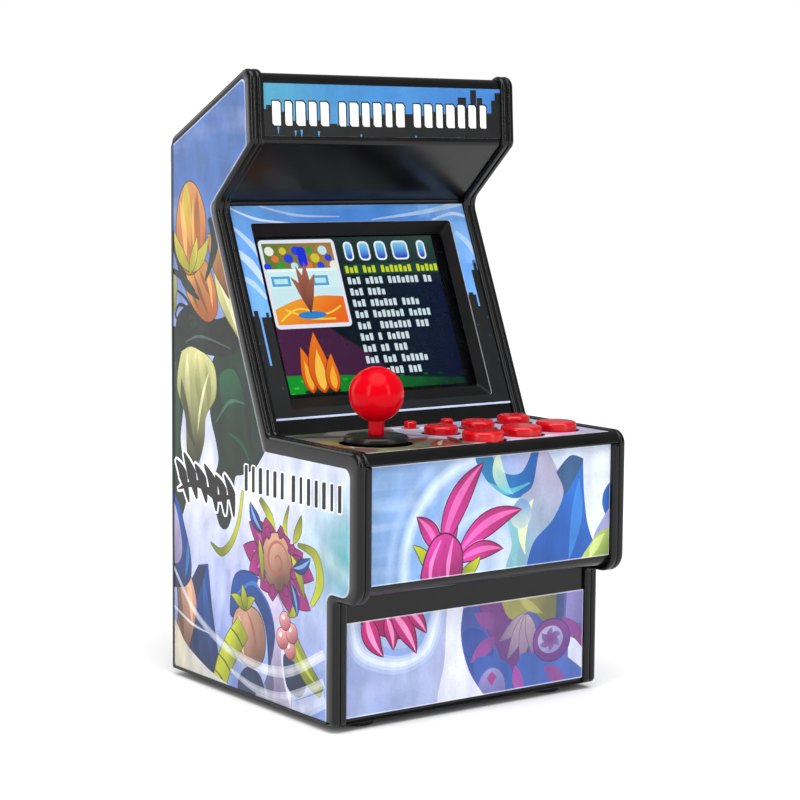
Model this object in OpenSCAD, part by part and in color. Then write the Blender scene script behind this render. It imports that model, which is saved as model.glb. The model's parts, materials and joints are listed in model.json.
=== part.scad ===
// Palm-sized arcade cabinet: two profiled side panels hold a stepped centre shell with a
// joystick, eight push buttons, a recessed display and a hinged battery door at the back.
// Frame: +Z up, the player stands at -Y, the origin is on the table under the box centre.

/* [Cabinet] */
// Width over the side panels
body_w = 83; // [82:0.5:86]
// Depth from the control box to the back
body_d = 86; // [86:0.5:90]
// Height of the rubber feet
foot_h = 1.7; // [1.5:0.1:2.5]
// Thickness of each side panel
side_t = 2; // [1.8:0.1:2.2]
// Width of the raised bead on each edge of the centre shell
bead_w = 2; // [1.5:0.1:2.2]

/* [Front profile] */
// How far the base front stands behind the control box front
base_back = 10; // [9:0.5:11]
// Height of the control box underside above the feet
box_z = 30.8; // [30:0.2:31.4]
// Height of the control deck rim above the feet
deck_z = 67.5; // [67:0.1:68]
// Lean of the screen panel from vertical, degrees
slope_a = 23; // [22:0.5:24]

/* [Screen] */
// Half width of the screen opening
open_x = 32; // [31.5:0.1:32.3]
// Depth of the display behind the screen panel
screen_deep = 5; // [4.6:0.1:5.4]

/* [Controls] */
// Radius of the large front buttons
big_r = 5.2; // [4.8:0.1:5.3]
// Radius of the smaller rear buttons
mid_r = 4.3; // [4:0.1:4.5]
// Radius of the two menu buttons
tiny_r = 1.6; // [1.4:0.1:1.8]
// Radius of the joystick ball
ball_r = 6.75; // [6:0.05:7]
// Radius of the joystick's domed disc
disc_r = 7.9; // [7.5:0.1:8]

/* [Power] */
// Radius of a battery cell
cell_r = 7.1; // [6.9:0.05:7.1]

/* [Hidden] */
$fn = 64;

half_w = body_w / 2;
front_y = -body_d / 2;
back_y = body_d / 2;
bottom_z = foot_h;
rim_z = foot_h + deck_z;
in_x = half_w - side_t;         // where the centre shell meets a side panel
bead_x = in_x - bead_w;         // where the recessed middle of the centre shell starts
paper_t = 0.2;                  // printed label thickness
label_sink = 0.3;               // depth of the side panels' seats for their labels
eps = 0.01;

// Cabinet profile in (y, z), clockwise from the bottom of the base front, with corner radii.
slope_run = tan(slope_a);
slope_foot = [front_y + 39.55, rim_z];
undercut_z = foot_h + 124;
undercut = [slope_foot[0] + (undercut_z - rim_z) * slope_run, undercut_z];
CORNERS = [[front_y + base_back, bottom_z], [front_y + base_back, foot_h + box_z],
  [front_y, foot_h + box_z], [front_y, rim_z], slope_foot, undercut,
  [front_y + 46.4, foot_h + 139.3], [front_y + 47.5, foot_h + 159.1],
  [back_y, foot_h + 140.5], [back_y, bottom_z]];
RADII = [1.5, 1.2, 5, 3.5, 1.5, 4, 2.5, 3, 2.5, 1.5];
LABEL_RADII = [0.6, 2.5, 3, 2.5, 1.5, 2.5, 1.2, 1.2, 0.8, 0.6];
MIDDLE_RADII = [1, 1, 3.4, 3, 1, 0.8, 1.5, 2.4, 2, 1];
CONCAVE = [false, true, false, false, true, true, false, false, false, false];
BASE = 0; UNDER = 1; FRONT = 2; DECK = 3; SLOPE = 4; HOOD = 5; MARQUEE = 6; ROOF = 7;
BACK = 8; BOTTOM = 9;
// How far each wall's recessed middle and its inner face stand behind the rim.
seat = [1.2, 1.6, 1.6, 0.5, 1.1, 0.9, 1.2, 0.6, 0, 0];
wall = [2.5, 2.7, 2.7, 2.5, 2.5, 2.4, 2.5, 2.4, 2.2, 2];
label_gap = [3.5, 1.6, 4.1, 4.1, 3.1, 1.5, 2.9, 2, 0.3, 0.4];
deck_top = rim_z - seat[DECK];
deck_low = rim_z - wall[DECK];
deck_front = front_y + 2.1;     // front edge of the deck's printed label
deck_seam = rim_z - 3.2;        // the deck's front band ends here
rear_in = back_y - wall[BACK];

// Controls: [x, y, cap radius, height over the deck label].
label_top = deck_top + paper_t;
FRONT_BUTTONS = [[0.9, front_y + 7.5], [15, front_y + 9.9], [28.5, front_y + 12.4]];
REAR_BUTTONS = [[-0.7, front_y + 22.5], [13.6, front_y + 25.7], [28.5, front_y + 29.7]];
MENU_BUTTONS = [[-0.9, front_y + 35.2], [10.3, front_y + 34.4]];
BUTTONS = concat([for (p = FRONT_BUTTONS) [p[0], p[1], big_r, 2.3]],
  [for (p = REAR_BUTTONS) [p[0], p[1], mid_r, 2.1]],
  [for (p = MENU_BUTTONS) [p[0], p[1], tiny_r, 1.75]]);
cap_gap = 0.6;                  // clearance round a cap in the deck
cap_skirt = 1.2;                // how far a cap reaches below the deck
disc_rim = 0.3;                 // height of the disc's upright edge
tab_over = 0.9;                 // how far a cap's two tabs reach under the deck
board_t = 1.2;
board_top = deck_low - 9.5;
mat_top = board_top + 0.5;
dome_top = board_top + 3;

stick = [-25, front_y + 16.5];
pivot_z = label_top - 6.4;
disc_low = label_top + 0.9;
disc_top = label_top + 2.2;
ball_z = label_top + 11.9;
stem_r = 1.95;
disc_hole_r = 9;
housing_half = 9.6;
pin_gap = 0.06;

// Screen frame: origin at the foot of the printed surround, x across, y up the slope.
face_in = seat[SLOPE] - paper_t;
slope_n = [-cos(slope_a), sin(slope_a)];
slope_up = [sin(slope_a), cos(slope_a)];
slope_o = slope_foot + slope_up * 3.8 - slope_n * face_in;
open_lo = 2.8;
open_hi = 52.5;
lens_t = 0.8;
glass_lo = 3.6;
glass_hi = 53.4;
board_deep = screen_deep + 5.2;
BOARD_POSTS = [for (x = [-36.6, 36.6], s = [10, 46]) [x, s]];

// Back: battery bay, controls on a small board, speaker and case screws.
bay_x = 24.3;
bay_lo = 9.8;
bay_hi = 61.8;
bay_t = 1.2;
bay_in = rear_in - 17;
cell_y = rear_in - 9.6;
cell_pitch = 16;
door_x = 25;
door_t = 1.8;
door_pin_y = back_y - door_t / 2;
door_lo = bay_lo;
door_hi = 62;
door_gap = 0.3;
io_y = rear_in - 7.2;
io_z = 77;
SWITCH_X = 18;
switch_rest = -1.3;
WHEEL_X = -18;
wheel_r = 5.2;
wheel_y = back_y - 5.4;
JACK_X = 2;
jack_r = 1.8;
USB_X = -6.5;
speaker_z = 112;
speaker_r = 14;
cone_r = 12;
CASE_SCREWS = [for (x = [-1, 1], z = [12, 94, 132]) [x * (in_x - 2.6), z]];
DECK_POSTS = [[-9.5, -31], [35, -22], [-33, -10], [21, -6.5]];
IO_POSTS = [[-29, 84], [29, 84]];
FEET = [[-29.7, front_y + 17.5], [29.7, front_y + 17.5], [-29.7, back_y - 9], [29.7, back_y - 9]];
pilot_r = 0.9;
shank_r = 0.85;

// ---- shape helpers ----
function unit(v) = v / norm(v);
function at(list, i) = list[(i + len(list)) % len(list)];
function edge_dir(i) = unit(at(CORNERS, i + 1) - at(CORNERS, i));
function edge_in(i) = let (d = edge_dir(i)) [d[1], -d[0]];
function cross2(a, b) = a[0] * b[1] - a[1] * b[0];

// Corner i of the profile with every edge moved inwards by its own distance.
function inset_corner(i, d) = let (
    a = edge_dir(i - 1), b = edge_dir(i),
    p = CORNERS[i] + edge_in(i - 1) * at(d, i - 1),
    q = CORNERS[i] + edge_in(i) * at(d, i)
  ) p + a * cross2(q - p, b) / cross2(a, b);
function inset(d) = [for (i = [0:len(CORNERS) - 1]) inset_corner(i, d)];

// Arc of radius r that rounds corner v between its neighbours p and n.
function corner_arc(v, p, n, r, steps = 8) = let (
    u = unit(p - v), w = unit(n - v), half = acos(u * w) / 2,
    c = v + unit(u + w) * r / sin(half),
    s = v + u * r / tan(half) - c, e = v + w * r / tan(half) - c,
    from = atan2(s[1], s[0]), turn = (atan2(e[1], e[0]) - from + 540) % 360 - 180
  ) [for (k = [0:steps]) c + r * [cos(from + turn * k / steps), sin(from + turn * k / steps)]];
function rounded(pts, radii) =
  [for (i = [0:len(pts) - 1]) each corner_arc(pts[i], at(pts, i - 1), at(pts, i + 1), radii[i])];
function inset_radius(i, d) = CONCAVE[i] ? RADII[i] + at(d, i) : max(RADII[i] - at(d, i), 0.4);
function profile(d) = rounded(inset(d), [for (i = [0:len(CORNERS) - 1]) inset_radius(i, d)]);
function middle(d) = rounded(inset(d), MIDDLE_RADII);
function same(d) = [for (i = CORNERS) d];

// Stands a (y, z) drawing up and gives it width along x.
module across(x0, x1) translate([x0, 0, 0]) rotate([90, 0, 90]) linear_extrude(x1 - x0) children();

// The part of the cabinet's ring that belongs to the named edges.
module edge_zone(edges) {
  outer = inset(same(-3));
  inner = inset([for (w = wall) w + 0.5]);
  for (i = edges)
    polygon([outer[i], at(outer, i + 1), at(inner, i + 1), inner[i]]);
}
module ring(edges, outline) intersection() {
  difference() {
    polygon(outline);
    polygon(middle(wall));
  }
  edge_zone(edges);
}

// Centre shell wall: a recessed middle between two raised beads.
module shell_wall(edges) {
  across(-bead_x, bead_x) ring(edges, middle(seat));
  for (x = [-in_x, bead_x]) across(x, x + bead_w) ring(edges, profile(same(0)));
}

// Puts x, y (up the slope) and z (out of the slope) on the screen panel.
module on_slope() translate([0, slope_o[0], slope_o[1]]) rotate([90 - slope_a, 0, 0]) children();
module slab(x, s0, s1, deep0, deep1) translate([-x, s0, -deep1]) cube([2 * x, s1 - s0, deep1 - deep0]);
module centred(size, at) translate(at - size / 2) cube(size);
module along_y(r, y0, y1) rotate([-90, 0, 0]) translate([0, 0, y0]) cylinder(r = r, h = y1 - y0);
module along_x(r, x0, x1) rotate([0, 90, 0]) translate([0, 0, x0]) cylinder(r = r, h = x1 - x0);
module tube(r_out, r_in, h) difference() {
  cylinder(r = r_out, h = h);
  translate([0, 0, -1]) cylinder(r = r_in, h = h + 2);
}

// Wire of radius r swept along a route of points.
function route_dir(pts, i) = unit(pts[min(i + 1, len(pts) - 1)] - pts[max(i - 1, 0)]);
function ring_at(p, t, r, sides) = let (
    a = unit(cross(t, abs(t[0]) < 0.9 ? [1, 0, 0] : [0, 1, 0])), b = cross(t, a)
  ) [for (k = [0:sides - 1]) p + r * (cos(360 * k / sides) * a + sin(360 * k / sides) * b)];
module swept(pts, r, sides = 8) {
  n = len(pts);
  rings = [for (i = [0:n - 1]) each ring_at(pts[i], route_dir(pts, i), r, sides)];
  sides_faces = [for (i = [0:n - 2], k = [0:sides - 1])
    [i * sides + k, i * sides + (k + 1) % sides, (i + 1) * sides + (k + 1) % sides, (i + 1) * sides + k]];
  first = [for (k = [sides - 1:-1:0]) k];
  last = [for (k = [0:sides - 1]) (n - 1) * sides + k];
  polyhedron(points = rings, faces = concat([first], sides_faces, [last]), convexity = 6);
}
function helix(r0, r1, h, turns, step = 24) =
  [for (a = [0:step:360 * turns]) let (f = a / (360 * turns)) [
    (r0 + (r1 - r0) * f) * cos(a), (r0 + (r1 - r0) * f) * sin(a), h * f]];

// Self-tapping screw pointing along +Y, with the underside of its head at the origin.
module screw(length, head_r = 2, head_t = 1) {
  along_y(shank_r, -length, 0);
  difference() {
    along_y(head_r, 0, head_t);
    for (a = [0, 90]) rotate([0, a, 0]) centred([2.2, 0.8, 0.5], [0, head_t, 0]);
  }
}

// ---- case ----
module side_panel(s) color("#1b1b1d") {
  x0 = s > 0 ? in_x : -half_w;
  x_face = s > 0 ? half_w - label_sink : -half_w - eps;
  difference() {
    across(x0, x0 + side_t) polygon(profile(same(0)));
    across(x_face, x_face + label_sink + eps) polygon(label_outline(0.1));
  }
  for (p = [for (q = CASE_SCREWS) if (q[0] * s > 0) q]) difference() {
    union() {
      translate([p[0], 0, p[1]]) along_y(2.5, rear_in - 11, rear_in);
      centred([2.7, 11, 2], [s * (in_x - 1.3), rear_in - 5.5, p[1]]);
    }
    translate([p[0], 0, p[1]]) along_y(pilot_r, rear_in - 10, rear_in + 1);
  }
}
module left_side_panel() side_panel(-1);
module right_side_panel() side_panel(1);

module base_front() color("#1b1b1d") shell_wall([BASE]);
module control_box() color("#1b1b1d") difference() {
  shell_wall([UNDER, FRONT]);
  centred([body_w, 20, 20], [0, front_y, deck_seam + 10]);
  for (p = FRONT_BUTTONS)
    translate([p[0], p[1], deck_seam - 4]) cylinder(r = big_r + 0.3, h = 10);
}
module control_deck() color("#1b1b1d") difference() {
  union() {
    across(-in_x, in_x) intersection() {
      ring([FRONT, DECK], profile(same(0)));
      translate([front_y - 1, deck_seam]) square([60, 20]);
    }
    for (p = DECK_POSTS)
      translate([p[0], p[1], board_top]) cylinder(r = 2, h = deck_low - board_top + eps);
  }
  translate([-bead_x, deck_front, deck_top]) cube([2 * bead_x, 60, 10]);
  for (b = BUTTONS) translate([b[0], b[1], deck_seam - 1]) cylinder(r = b[2] + cap_gap, h = 10);
  translate([stick[0], stick[1], deck_seam - 1]) cylinder(r = disc_hole_r, h = 10);
  for (p = DECK_POSTS) translate([p[0], p[1], board_top - 1]) cylinder(r = pilot_r, h = 8);
}
module screen_frame() color("#1b1b1d") {
  difference() {
    shell_wall([SLOPE]);
    on_slope() slab(open_x + 1.2, open_lo - 1.2, open_hi + 1.2, -3, 10);
  }
  on_slope() for (p = BOARD_POSTS)
    translate([p[0], p[1], -board_deep]) tube(1.7, pilot_r, board_deep - wall[SLOPE] + face_in + 0.2);
}
module marquee_hood() color("#1b1b1d") shell_wall([HOOD, MARQUEE, ROOF]);
module base_plate() color("#1b1b1d") difference() {
  across(-in_x, in_x) ring([BOTTOM], profile(same(0)));
  for (p = FEET) translate([p[0], p[1], 0]) cylinder(r = 1.5, h = 10);
}
module rear_cover() color("#1b1b1d") {
  difference() {
    across(-in_x, in_x) ring([BACK], profile(same(0)));
    // battery door opening and the sockets for its two hinge pins
    centred([2 * (door_x + door_gap), 10, door_hi - door_lo + 2 * door_gap],
      [0, back_y, (door_hi + door_lo) / 2]);
    translate([0, door_pin_y, door_lo + door_t / 2]) along_x(0.7 + pin_gap, -door_x - 2, door_x + 2);
    // speaker slots
    for (k = [-3:3]) centred([2 * sqrt(121 - 12.5 * k * k), 10, 1.5], [0, back_y, speaker_z + 3 * k]);
    // switch, volume wheel, jack and charging socket
    centred([6.4, 10, 2.6], [SWITCH_X, back_y, io_z]);
    centred([11, 2, 7], [SWITCH_X, back_y, io_z]);
    centred([3.6, 10, 9.4], [WHEEL_X, back_y, io_z]);
    centred([8, 2, 13], [WHEEL_X, back_y, io_z]);
    translate([JACK_X, 0, io_z]) along_y(2.8, back_y - 5, back_y + 1);
    centred([8.6, 10, 3.6], [USB_X, back_y, io_z]);
    for (p = CASE_SCREWS) translate([p[0], 0, p[1]]) {
      along_y(1.15, back_y - 5, back_y + 1);
      along_y(2.15, back_y - 1.2, back_y + 1);
    }
  }
  translate([0, rear_in + eps, speaker_z]) rotate([90, 0, 0]) tube(speaker_r + 1.2, speaker_r + 0.2, 3);
  for (p = IO_POSTS) translate([p[0], rear_in + eps, p[1]]) rotate([90, 0, 0])
    tube(2, pilot_r, rear_in - io_y + eps);
}

// ---- printed labels ----
function label_outline(grow) = let (d = [for (g = label_gap) g - grow])
  rounded(inset(d), LABEL_RADII);
module side_label(s) color("#7fa6de") {
  x0 = s > 0 ? half_w - label_sink : -half_w + label_sink - paper_t;
  across(x0, x0 + paper_t) polygon(label_outline(0));
}
module side_label_left() side_label(-1);
module side_label_right() side_label(1);

// Flat label on one straight wall: from and to run along the wall from its lower corner.
module wall_label(edge, half_width, from, to) {
  low = inset(seat)[edge];
  dir = edge_dir(edge);
  out = -edge_in(edge) * paper_t;
  across(-half_width, half_width)
    polygon([low + dir * from, low + dir * from + out, low + dir * to + out, low + dir * to]);
}
module marquee_label() color("#3f8fd0") wall_label(MARQUEE, bead_x, 1.6, 14.6);
module control_label() color("#9db8ea") wall_label(FRONT, bead_x, 3.1, 31.6);
module base_label() color("#a8b4e4") wall_label(BASE, bead_x, 1.6, 25);
module screen_label() color("#4a8ad8") difference() {
  on_slope() slab(bead_x, 0, 57.2, 0, paper_t);
  on_slope() slab(open_x, open_lo, open_hi, -1, 1);
}
module deck_label() color("#c4bcdc") difference() {
  translate([-bead_x, deck_front, deck_top]) cube([2 * bead_x, 37, paper_t]);
  for (b = BUTTONS) translate([b[0], b[1], deck_top - 1]) cylinder(r = b[2] + cap_gap + 0.3, h = 2);
  translate([stick[0], stick[1], deck_top - 1]) cylinder(r = disc_hole_r + 0.2, h = 2);
}

// ---- display ----
module screen_bezel() color("#202022") on_slope() difference() {
  slab(open_x + 1.2, open_lo - 1.2, open_hi + 1.2, paper_t, screen_deep);
  hull() {
    slab(open_x + 0.1, open_lo - 0.1, open_hi + 0.1, -0.1, 0.1);
    slab(open_x - 0.8, open_lo + 3.8, open_hi - 2.3, screen_deep - lens_t, screen_deep - lens_t + 0.1);
  }
  slab(open_x - 0.8, open_lo + 3.8, open_hi - 2.3, 0, screen_deep + 1);
  slab(open_x + 0.6, open_lo + 2.4, open_hi - 0.9, screen_deep - lens_t, screen_deep + 1);
}
module screen_lens() color("#26323a", 0.4) on_slope()
  slab(open_x + 0.5, open_lo + 2.5, open_hi - 1, screen_deep - lens_t, screen_deep);
module lcd_panel() color("#0c2540") on_slope() slab(34.4, glass_lo, glass_hi, screen_deep, screen_deep + 1.6);
module lcd_backlight() color("#b9bcc0") on_slope() difference() {
  slab(34.6, glass_lo - 0.2, glass_hi + 0.2, screen_deep + 0.8, screen_deep + 3);
  slab(34.4, glass_lo, glass_hi, screen_deep, screen_deep + 1.6);
}
module main_board() color("#1f6b3a") on_slope() difference() {
  union() {
    slab(38.2, 6, 52, board_deep, board_deep + board_t);
    // processor, memory and the connector row on the back
    centred([14, 14, 1.4], [6, 30, -board_deep - board_t - 0.7]);
    centred([10, 6, 1], [-12, 36, -board_deep - board_t - 0.5]);
    centred([12, 3, 2], [-20, 12, -board_deep - board_t - 1]);
    centred([5, 3, 2], [12, 12, -board_deep - board_t - 1]);
  }
  for (p = BOARD_POSTS) translate([p[0], p[1], -board_deep - 3]) cylinder(r = 1.1, h = 5);
}
module display_ribbon() color("#c98a3c") on_slope() {
  deep = screen_deep + 1.2;
  far = board_deep + board_t;
  mid = (deep + far + 0.2) / 2;
  bend = (far + 0.2 - deep) / 2;
  start = glass_lo - 0.6;
  rotate([90, 0, 90]) translate([0, 0, -6]) linear_extrude(12) {
    translate([start, -deep - 0.2]) square([0.4, 0.2]);
    translate([start, -mid]) intersection() {
      difference() {
        circle(bend);
        circle(bend - 0.2);
      }
      translate([-10, -10]) square([10, 20]);
    }
    translate([start, -far - 0.2]) square([6, 0.2]);
  }
}

// ---- controls ----
module button_board() color("#1f6b3a") difference() {
  translate([-36.8, front_y + 3.5, board_top - board_t]) cube([73.6, 35, board_t]);
  for (p = DECK_POSTS) translate([p[0], p[1], 0]) cylinder(r = 1.1, h = 100);
}
module button_mat() color("#c9c9c2") {
  difference() {
    translate([-6.5, front_y + 3.6, board_top]) cube([42, 34.5, mat_top - board_top]);
    for (p = DECK_POSTS) translate([p[0], p[1], 0]) cylinder(r = 2.3, h = 100);
  }
  for (b = BUTTONS) translate([b[0], b[1], mat_top - eps])
    cylinder(r1 = min(b[2], 3.2), r2 = min(b[2], 3.2) - 1.1, h = dome_top - mat_top);
}
// Push button: flat cap with a rounded rim, two stop tabs and a plunger on its rubber dome.
module push_button(b) color("#d8131c") translate([b[0], b[1], 0]) {
  top = label_top + b[3];
  edge = min(0.7, b[2] * 0.3);
  low = deck_low - cap_skirt;
  rotate_extrude() polygon(concat([[0, low], [b[2], low]],
    [for (a = [0:15:90]) [b[2] - edge + edge * cos(a), top - edge + edge * sin(a)]], [[0, top]]));
  intersection() {
    translate([0, 0, low]) cylinder(r = b[2] + cap_gap + tab_over, h = 1.1);
    centred([30, min(5, b[2]), 10], [0, 0, low]);
  }
  translate([0, 0, dome_top + 0.05]) cylinder(r = min(1.6, b[2] - 0.3), h = low - dome_top);
}
module front_button_1() push_button(BUTTONS[0]);
module front_button_2() push_button(BUTTONS[1]);
module front_button_3() push_button(BUTTONS[2]);
module rear_button_1() push_button(BUTTONS[3]);
module rear_button_2() push_button(BUTTONS[4]);
module rear_button_3() push_button(BUTTONS[5]);
module start_button() push_button(BUTTONS[6]);
module select_button() push_button(BUTTONS[7]);

module joystick_housing() color("#161617") translate([stick[0], stick[1], 0]) difference() {
  centred([2 * housing_half, 2 * housing_half, deck_low - board_top], [0, 0, (deck_low + board_top) / 2]);
  centred([2 * housing_half - 2.4, 2 * housing_half - 2.4, 40], [0, 0, board_top]);
  translate([0, 0, pivot_z]) along_x(1 + pin_gap, -20, 20);
}
module joystick_yoke() color("#d9d9d6") translate([stick[0], stick[1], pivot_z]) difference() {
  union() {
    cylinder(r = 6.6, h = 3, center = true);
    along_x(1, -housing_half + 0.2, housing_half - 0.2);
  }
  cylinder(r = 4.8, h = 10, center = true);
  along_y(0.8 + pin_gap, -10, 10);
}
module joystick_shaft() color("#d8131c") translate([stick[0], stick[1], 0]) {
  translate([0, 0, pivot_z - 3]) cylinder(r = 3.2, h = 6);
  translate([0, 0, board_top + 1.8]) cylinder(r = 5.6, h = 0.8);
  translate([0, 0, board_top + 2]) cylinder(r = 2.4, h = pivot_z - board_top - 3);
  translate([0, 0, pivot_z]) cylinder(r = stem_r, h = ball_z - pivot_z);
  translate([0, 0, pivot_z]) along_y(0.8, -6.4, 6.4);
}
module joystick_disc() color("#141414") translate([stick[0], stick[1], 0]) rotate_extrude()
  polygon(concat([[stem_r + 0.02, pivot_z + 3.1], [3, pivot_z + 3.1], [3, disc_low],
    [disc_r - 0.35, disc_low], [disc_r, disc_low + disc_rim]],
    [for (f = [1:-0.125:0.25]) [disc_r * f, disc_low + disc_rim + (disc_top - disc_low - disc_rim) * (1 - f * f * f)]
      ],
    [[stem_r + 0.02, disc_top]]));
module joystick_ball() color("#e0101a") translate([stick[0], stick[1], ball_z]) difference() {
  sphere(r = ball_r);
  translate([0, 0, -ball_r - 1]) cylinder(r = stem_r + 0.02, h = ball_r + 1.02);
}
module joystick_spring() color("silver") translate([stick[0], stick[1], board_top + 0.3])
  swept(helix(4.2, 3, 1.2, 3), 0.2, 6);

// ---- back controls ----
module io_board() color("#1f6b3a") difference() {
  centred([64, board_t, 20], [0, io_y - board_t / 2, io_z]);
  for (p = IO_POSTS) translate([p[0], 0, p[1]]) along_y(1.1, 0, 50);
  centred([4, 10, 11.4], [WHEEL_X, io_y, io_z]);
  centred([6.8, 10, 6.4], [JACK_X, io_y, io_z]);
}
module switch_body() color("silver") difference() {
  centred([9, 4.8, 6], [SWITCH_X, io_y + 2.4, io_z]);
  centred([5.8, 3, 2.2], [SWITCH_X, io_y + 4.3, io_z]);
}
module switch_knob() color("#161617") translate([SWITCH_X + switch_rest, 0, io_z]) {
  centred([2.6, 1.6, 1.8], [0, io_y + 3.8, 0]);
  centred([2.2, back_y - 0.2 - io_y - 4, 1.8], [0, (back_y - 0.2 + io_y + 4) / 2, 0]);
}
module volume_body() color("#161617") {
  centred([2.8, 6.4, 7], [WHEEL_X + 3.2, io_y + 3.2, io_z]);
  translate([0, wheel_y, io_z]) along_x(1, WHEEL_X - 1.8, WHEEL_X + 3);
}
module volume_wheel() color("#2a2a2c") translate([WHEEL_X, wheel_y, io_z]) difference() {
  along_x(wheel_r, -1.3, 1.3);
  along_x(1 + pin_gap, -5, 5);
  for (a = [0:15:345]) rotate([a, 0, 0]) centred([4, 0.5, 0.5], [0, wheel_r, 0]);
}
module av_jack() color("#161617") translate([JACK_X, 0, io_z]) difference() {
  union() {
    centred([6.4, 11, 6], [0, rear_in - 5.7, 0]);
    along_y(2.6, rear_in - 0.5, back_y - 0.4);
  }
  along_y(jack_r, rear_in - 10.2, back_y + 1);
}
module usb_socket() color("silver") translate([USB_X, 0, io_z]) difference() {
  centred([7.6, back_y - 0.6 - io_y, 2.6], [0, (back_y - 0.6 + io_y) / 2, 0]);
  centred([6.9, 5.4, 1.9], [0, back_y - 0.6 - 2.6, 0]);
}

// ---- power ----
module battery_box() color("#1b1b1d") difference() {
  centred([2 * (bay_x + bay_t), rear_in - bay_in + bay_t, bay_hi - bay_lo + 2 * bay_t],
    [0, (rear_in + bay_in - bay_t) / 2, (bay_hi + bay_lo) / 2]);
  centred([2 * bay_x, 40, bay_hi - bay_lo], [0, bay_in + 20, (bay_hi + bay_lo) / 2]);
}
// Cell standing between its end plates; up is 1 with the raised terminal at the top.
module cell(k, up) color("#3a6ea8")
  translate([(k - 2) * cell_pitch, cell_y, up > 0 ? bay_lo : bay_hi])
  mirror([0, 0, up > 0 ? 0 : 1]) {
    translate([0, 0, 1.6]) cylinder(r = cell_r, h = 49);
    translate([0, 0, 50]) cylinder(r = 2.6, h = 1.6);
  }
module battery_1() cell(1, 1);
module battery_2() cell(2, -1);
module battery_3() cell(3, 1);
module battery_contacts() color("silver") for (k = [1:3]) {
  x = (k - 2) * cell_pitch;
  centred([11, 11, 0.3], [x, cell_y, bay_lo + 0.15]);
  centred([11, 11, 0.3], [x, cell_y, bay_hi - 0.15]);
  translate([x, cell_y, k == 2 ? bay_hi - 0.3 : bay_lo + 0.3]) mirror([0, 0, k == 2 ? 1 : 0])
    cylinder(r = 3.5, h = 1.25);
}
module battery_door() color("#1b1b1d") {
  difference() {
    centred([2 * door_x, door_t, door_hi - door_lo - door_t / 2],
      [0, door_pin_y, (door_hi + door_lo + door_t / 2) / 2]);
    for (k = [0:4]) centred([16, 0.8, 0.8], [0, back_y, door_hi - 5 - 1.6 * k]);
  }
  translate([0, door_pin_y, door_lo + door_t / 2]) along_x(door_t / 2, -door_x, door_x);
  translate([0, door_pin_y, door_lo + door_t / 2]) along_x(0.7, -door_x - 1.8, door_x + 1.8);
}
module speaker_basket() color("#8d9094") translate([0, rear_in - 0.3, speaker_z]) rotate([90, 0, 0]) {
  difference() {
    union() {
      cylinder(r = speaker_r, h = 1);
      translate([0, 0, 1]) cylinder(r1 = 12.6, r2 = 8, h = 3);
    }
    translate([0, 0, -1]) cylinder(r = cone_r, h = 1.8);
    translate([0, 0, 0.79]) cylinder(r1 = cone_r, r2 = 6.6, h = 3.22);
  }
  translate([0, 0, 4]) cylinder(r = 7, h = 3);
}
module speaker_cone() color("#3a3a3a") translate([0, rear_in - 0.3, speaker_z]) rotate([90, 0, 0])
  rotate_extrude() polygon([[0, 1.7], [3, 2.1], [4, 3], [cone_r - 0.3, 0.4], [cone_r - 0.3, 0.7], [4, 3.4], [0, 2.4]]);

// ---- feet, fasteners and wiring ----
module foot(p) color("#222222") translate([p[0], p[1], 0]) {
  cylinder(r = 4, h = foot_h);
  translate([0, 0, foot_h - eps]) cylinder(r = 1.45, h = wall[BOTTOM]);
}
module foot_front_left() foot(FEET[0]);
module foot_front_right() foot(FEET[1]);
module foot_rear_left() foot(FEET[2]);
module foot_rear_right() foot(FEET[3]);
module case_screws() color("silver") for (p = CASE_SCREWS)
  translate([p[0], back_y - 1.2, p[1]]) screw(9);
module board_screws() color("silver") {
  for (p = DECK_POSTS) translate([p[0], p[1], board_top - board_t]) rotate([-90, 0, 0]) screw(7);
  on_slope() for (p = BOARD_POSTS)
    translate([p[0], p[1], -board_deep - board_t]) rotate([-90, 0, 0]) screw(6);
  for (p = IO_POSTS) translate([p[0], io_y - board_t, p[1]]) rotate([180, 0, 0]) screw(6);
}
// Leads: speaker pair, battery pair and the bundle from the button board to the main board.
WIRES = [
  [[4, 32.8, 108.4], [5, 31, 104], [8, 29, 98], [11, 27, 92], [12, 24, 87], [12, 21, 83], [12, 18, 80.5]],
  [[6, 32.8, 109], [7.5, 31, 105], [10.5, 29, 99], [13, 27, 93], [13.4, 24, 88], [13.4, 21, 84],
    [13.4, 18, 81.5]],
  [[20, 30, 63.3], [20.5, 30, 64.5], [21, 30.4, 66], [22, 31.3, 67.4], [22.6, 31.7, 69], [22.6, 31.7, 71]],
  [[23, 28, 63.3], [23.6, 28, 64.8], [24.6, 29, 66.2], [25.4, 31, 67.6], [25.6, 31.7, 69.2], [25.6, 31.7, 71]],
  [[-20, -6, 55.2], [-20, -3, 54], [-20, 2, 54], [-20, 8, 57], [-20, 12, 62], [-20, 15.5, 67],
    [-20, 18, 71], [-20, 18.6, 74], [-20, 17.4, 76.6]]];
module inner_wires() color("#b02020") for (w = WIRES) swept(w, 0.5, 6);

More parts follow.
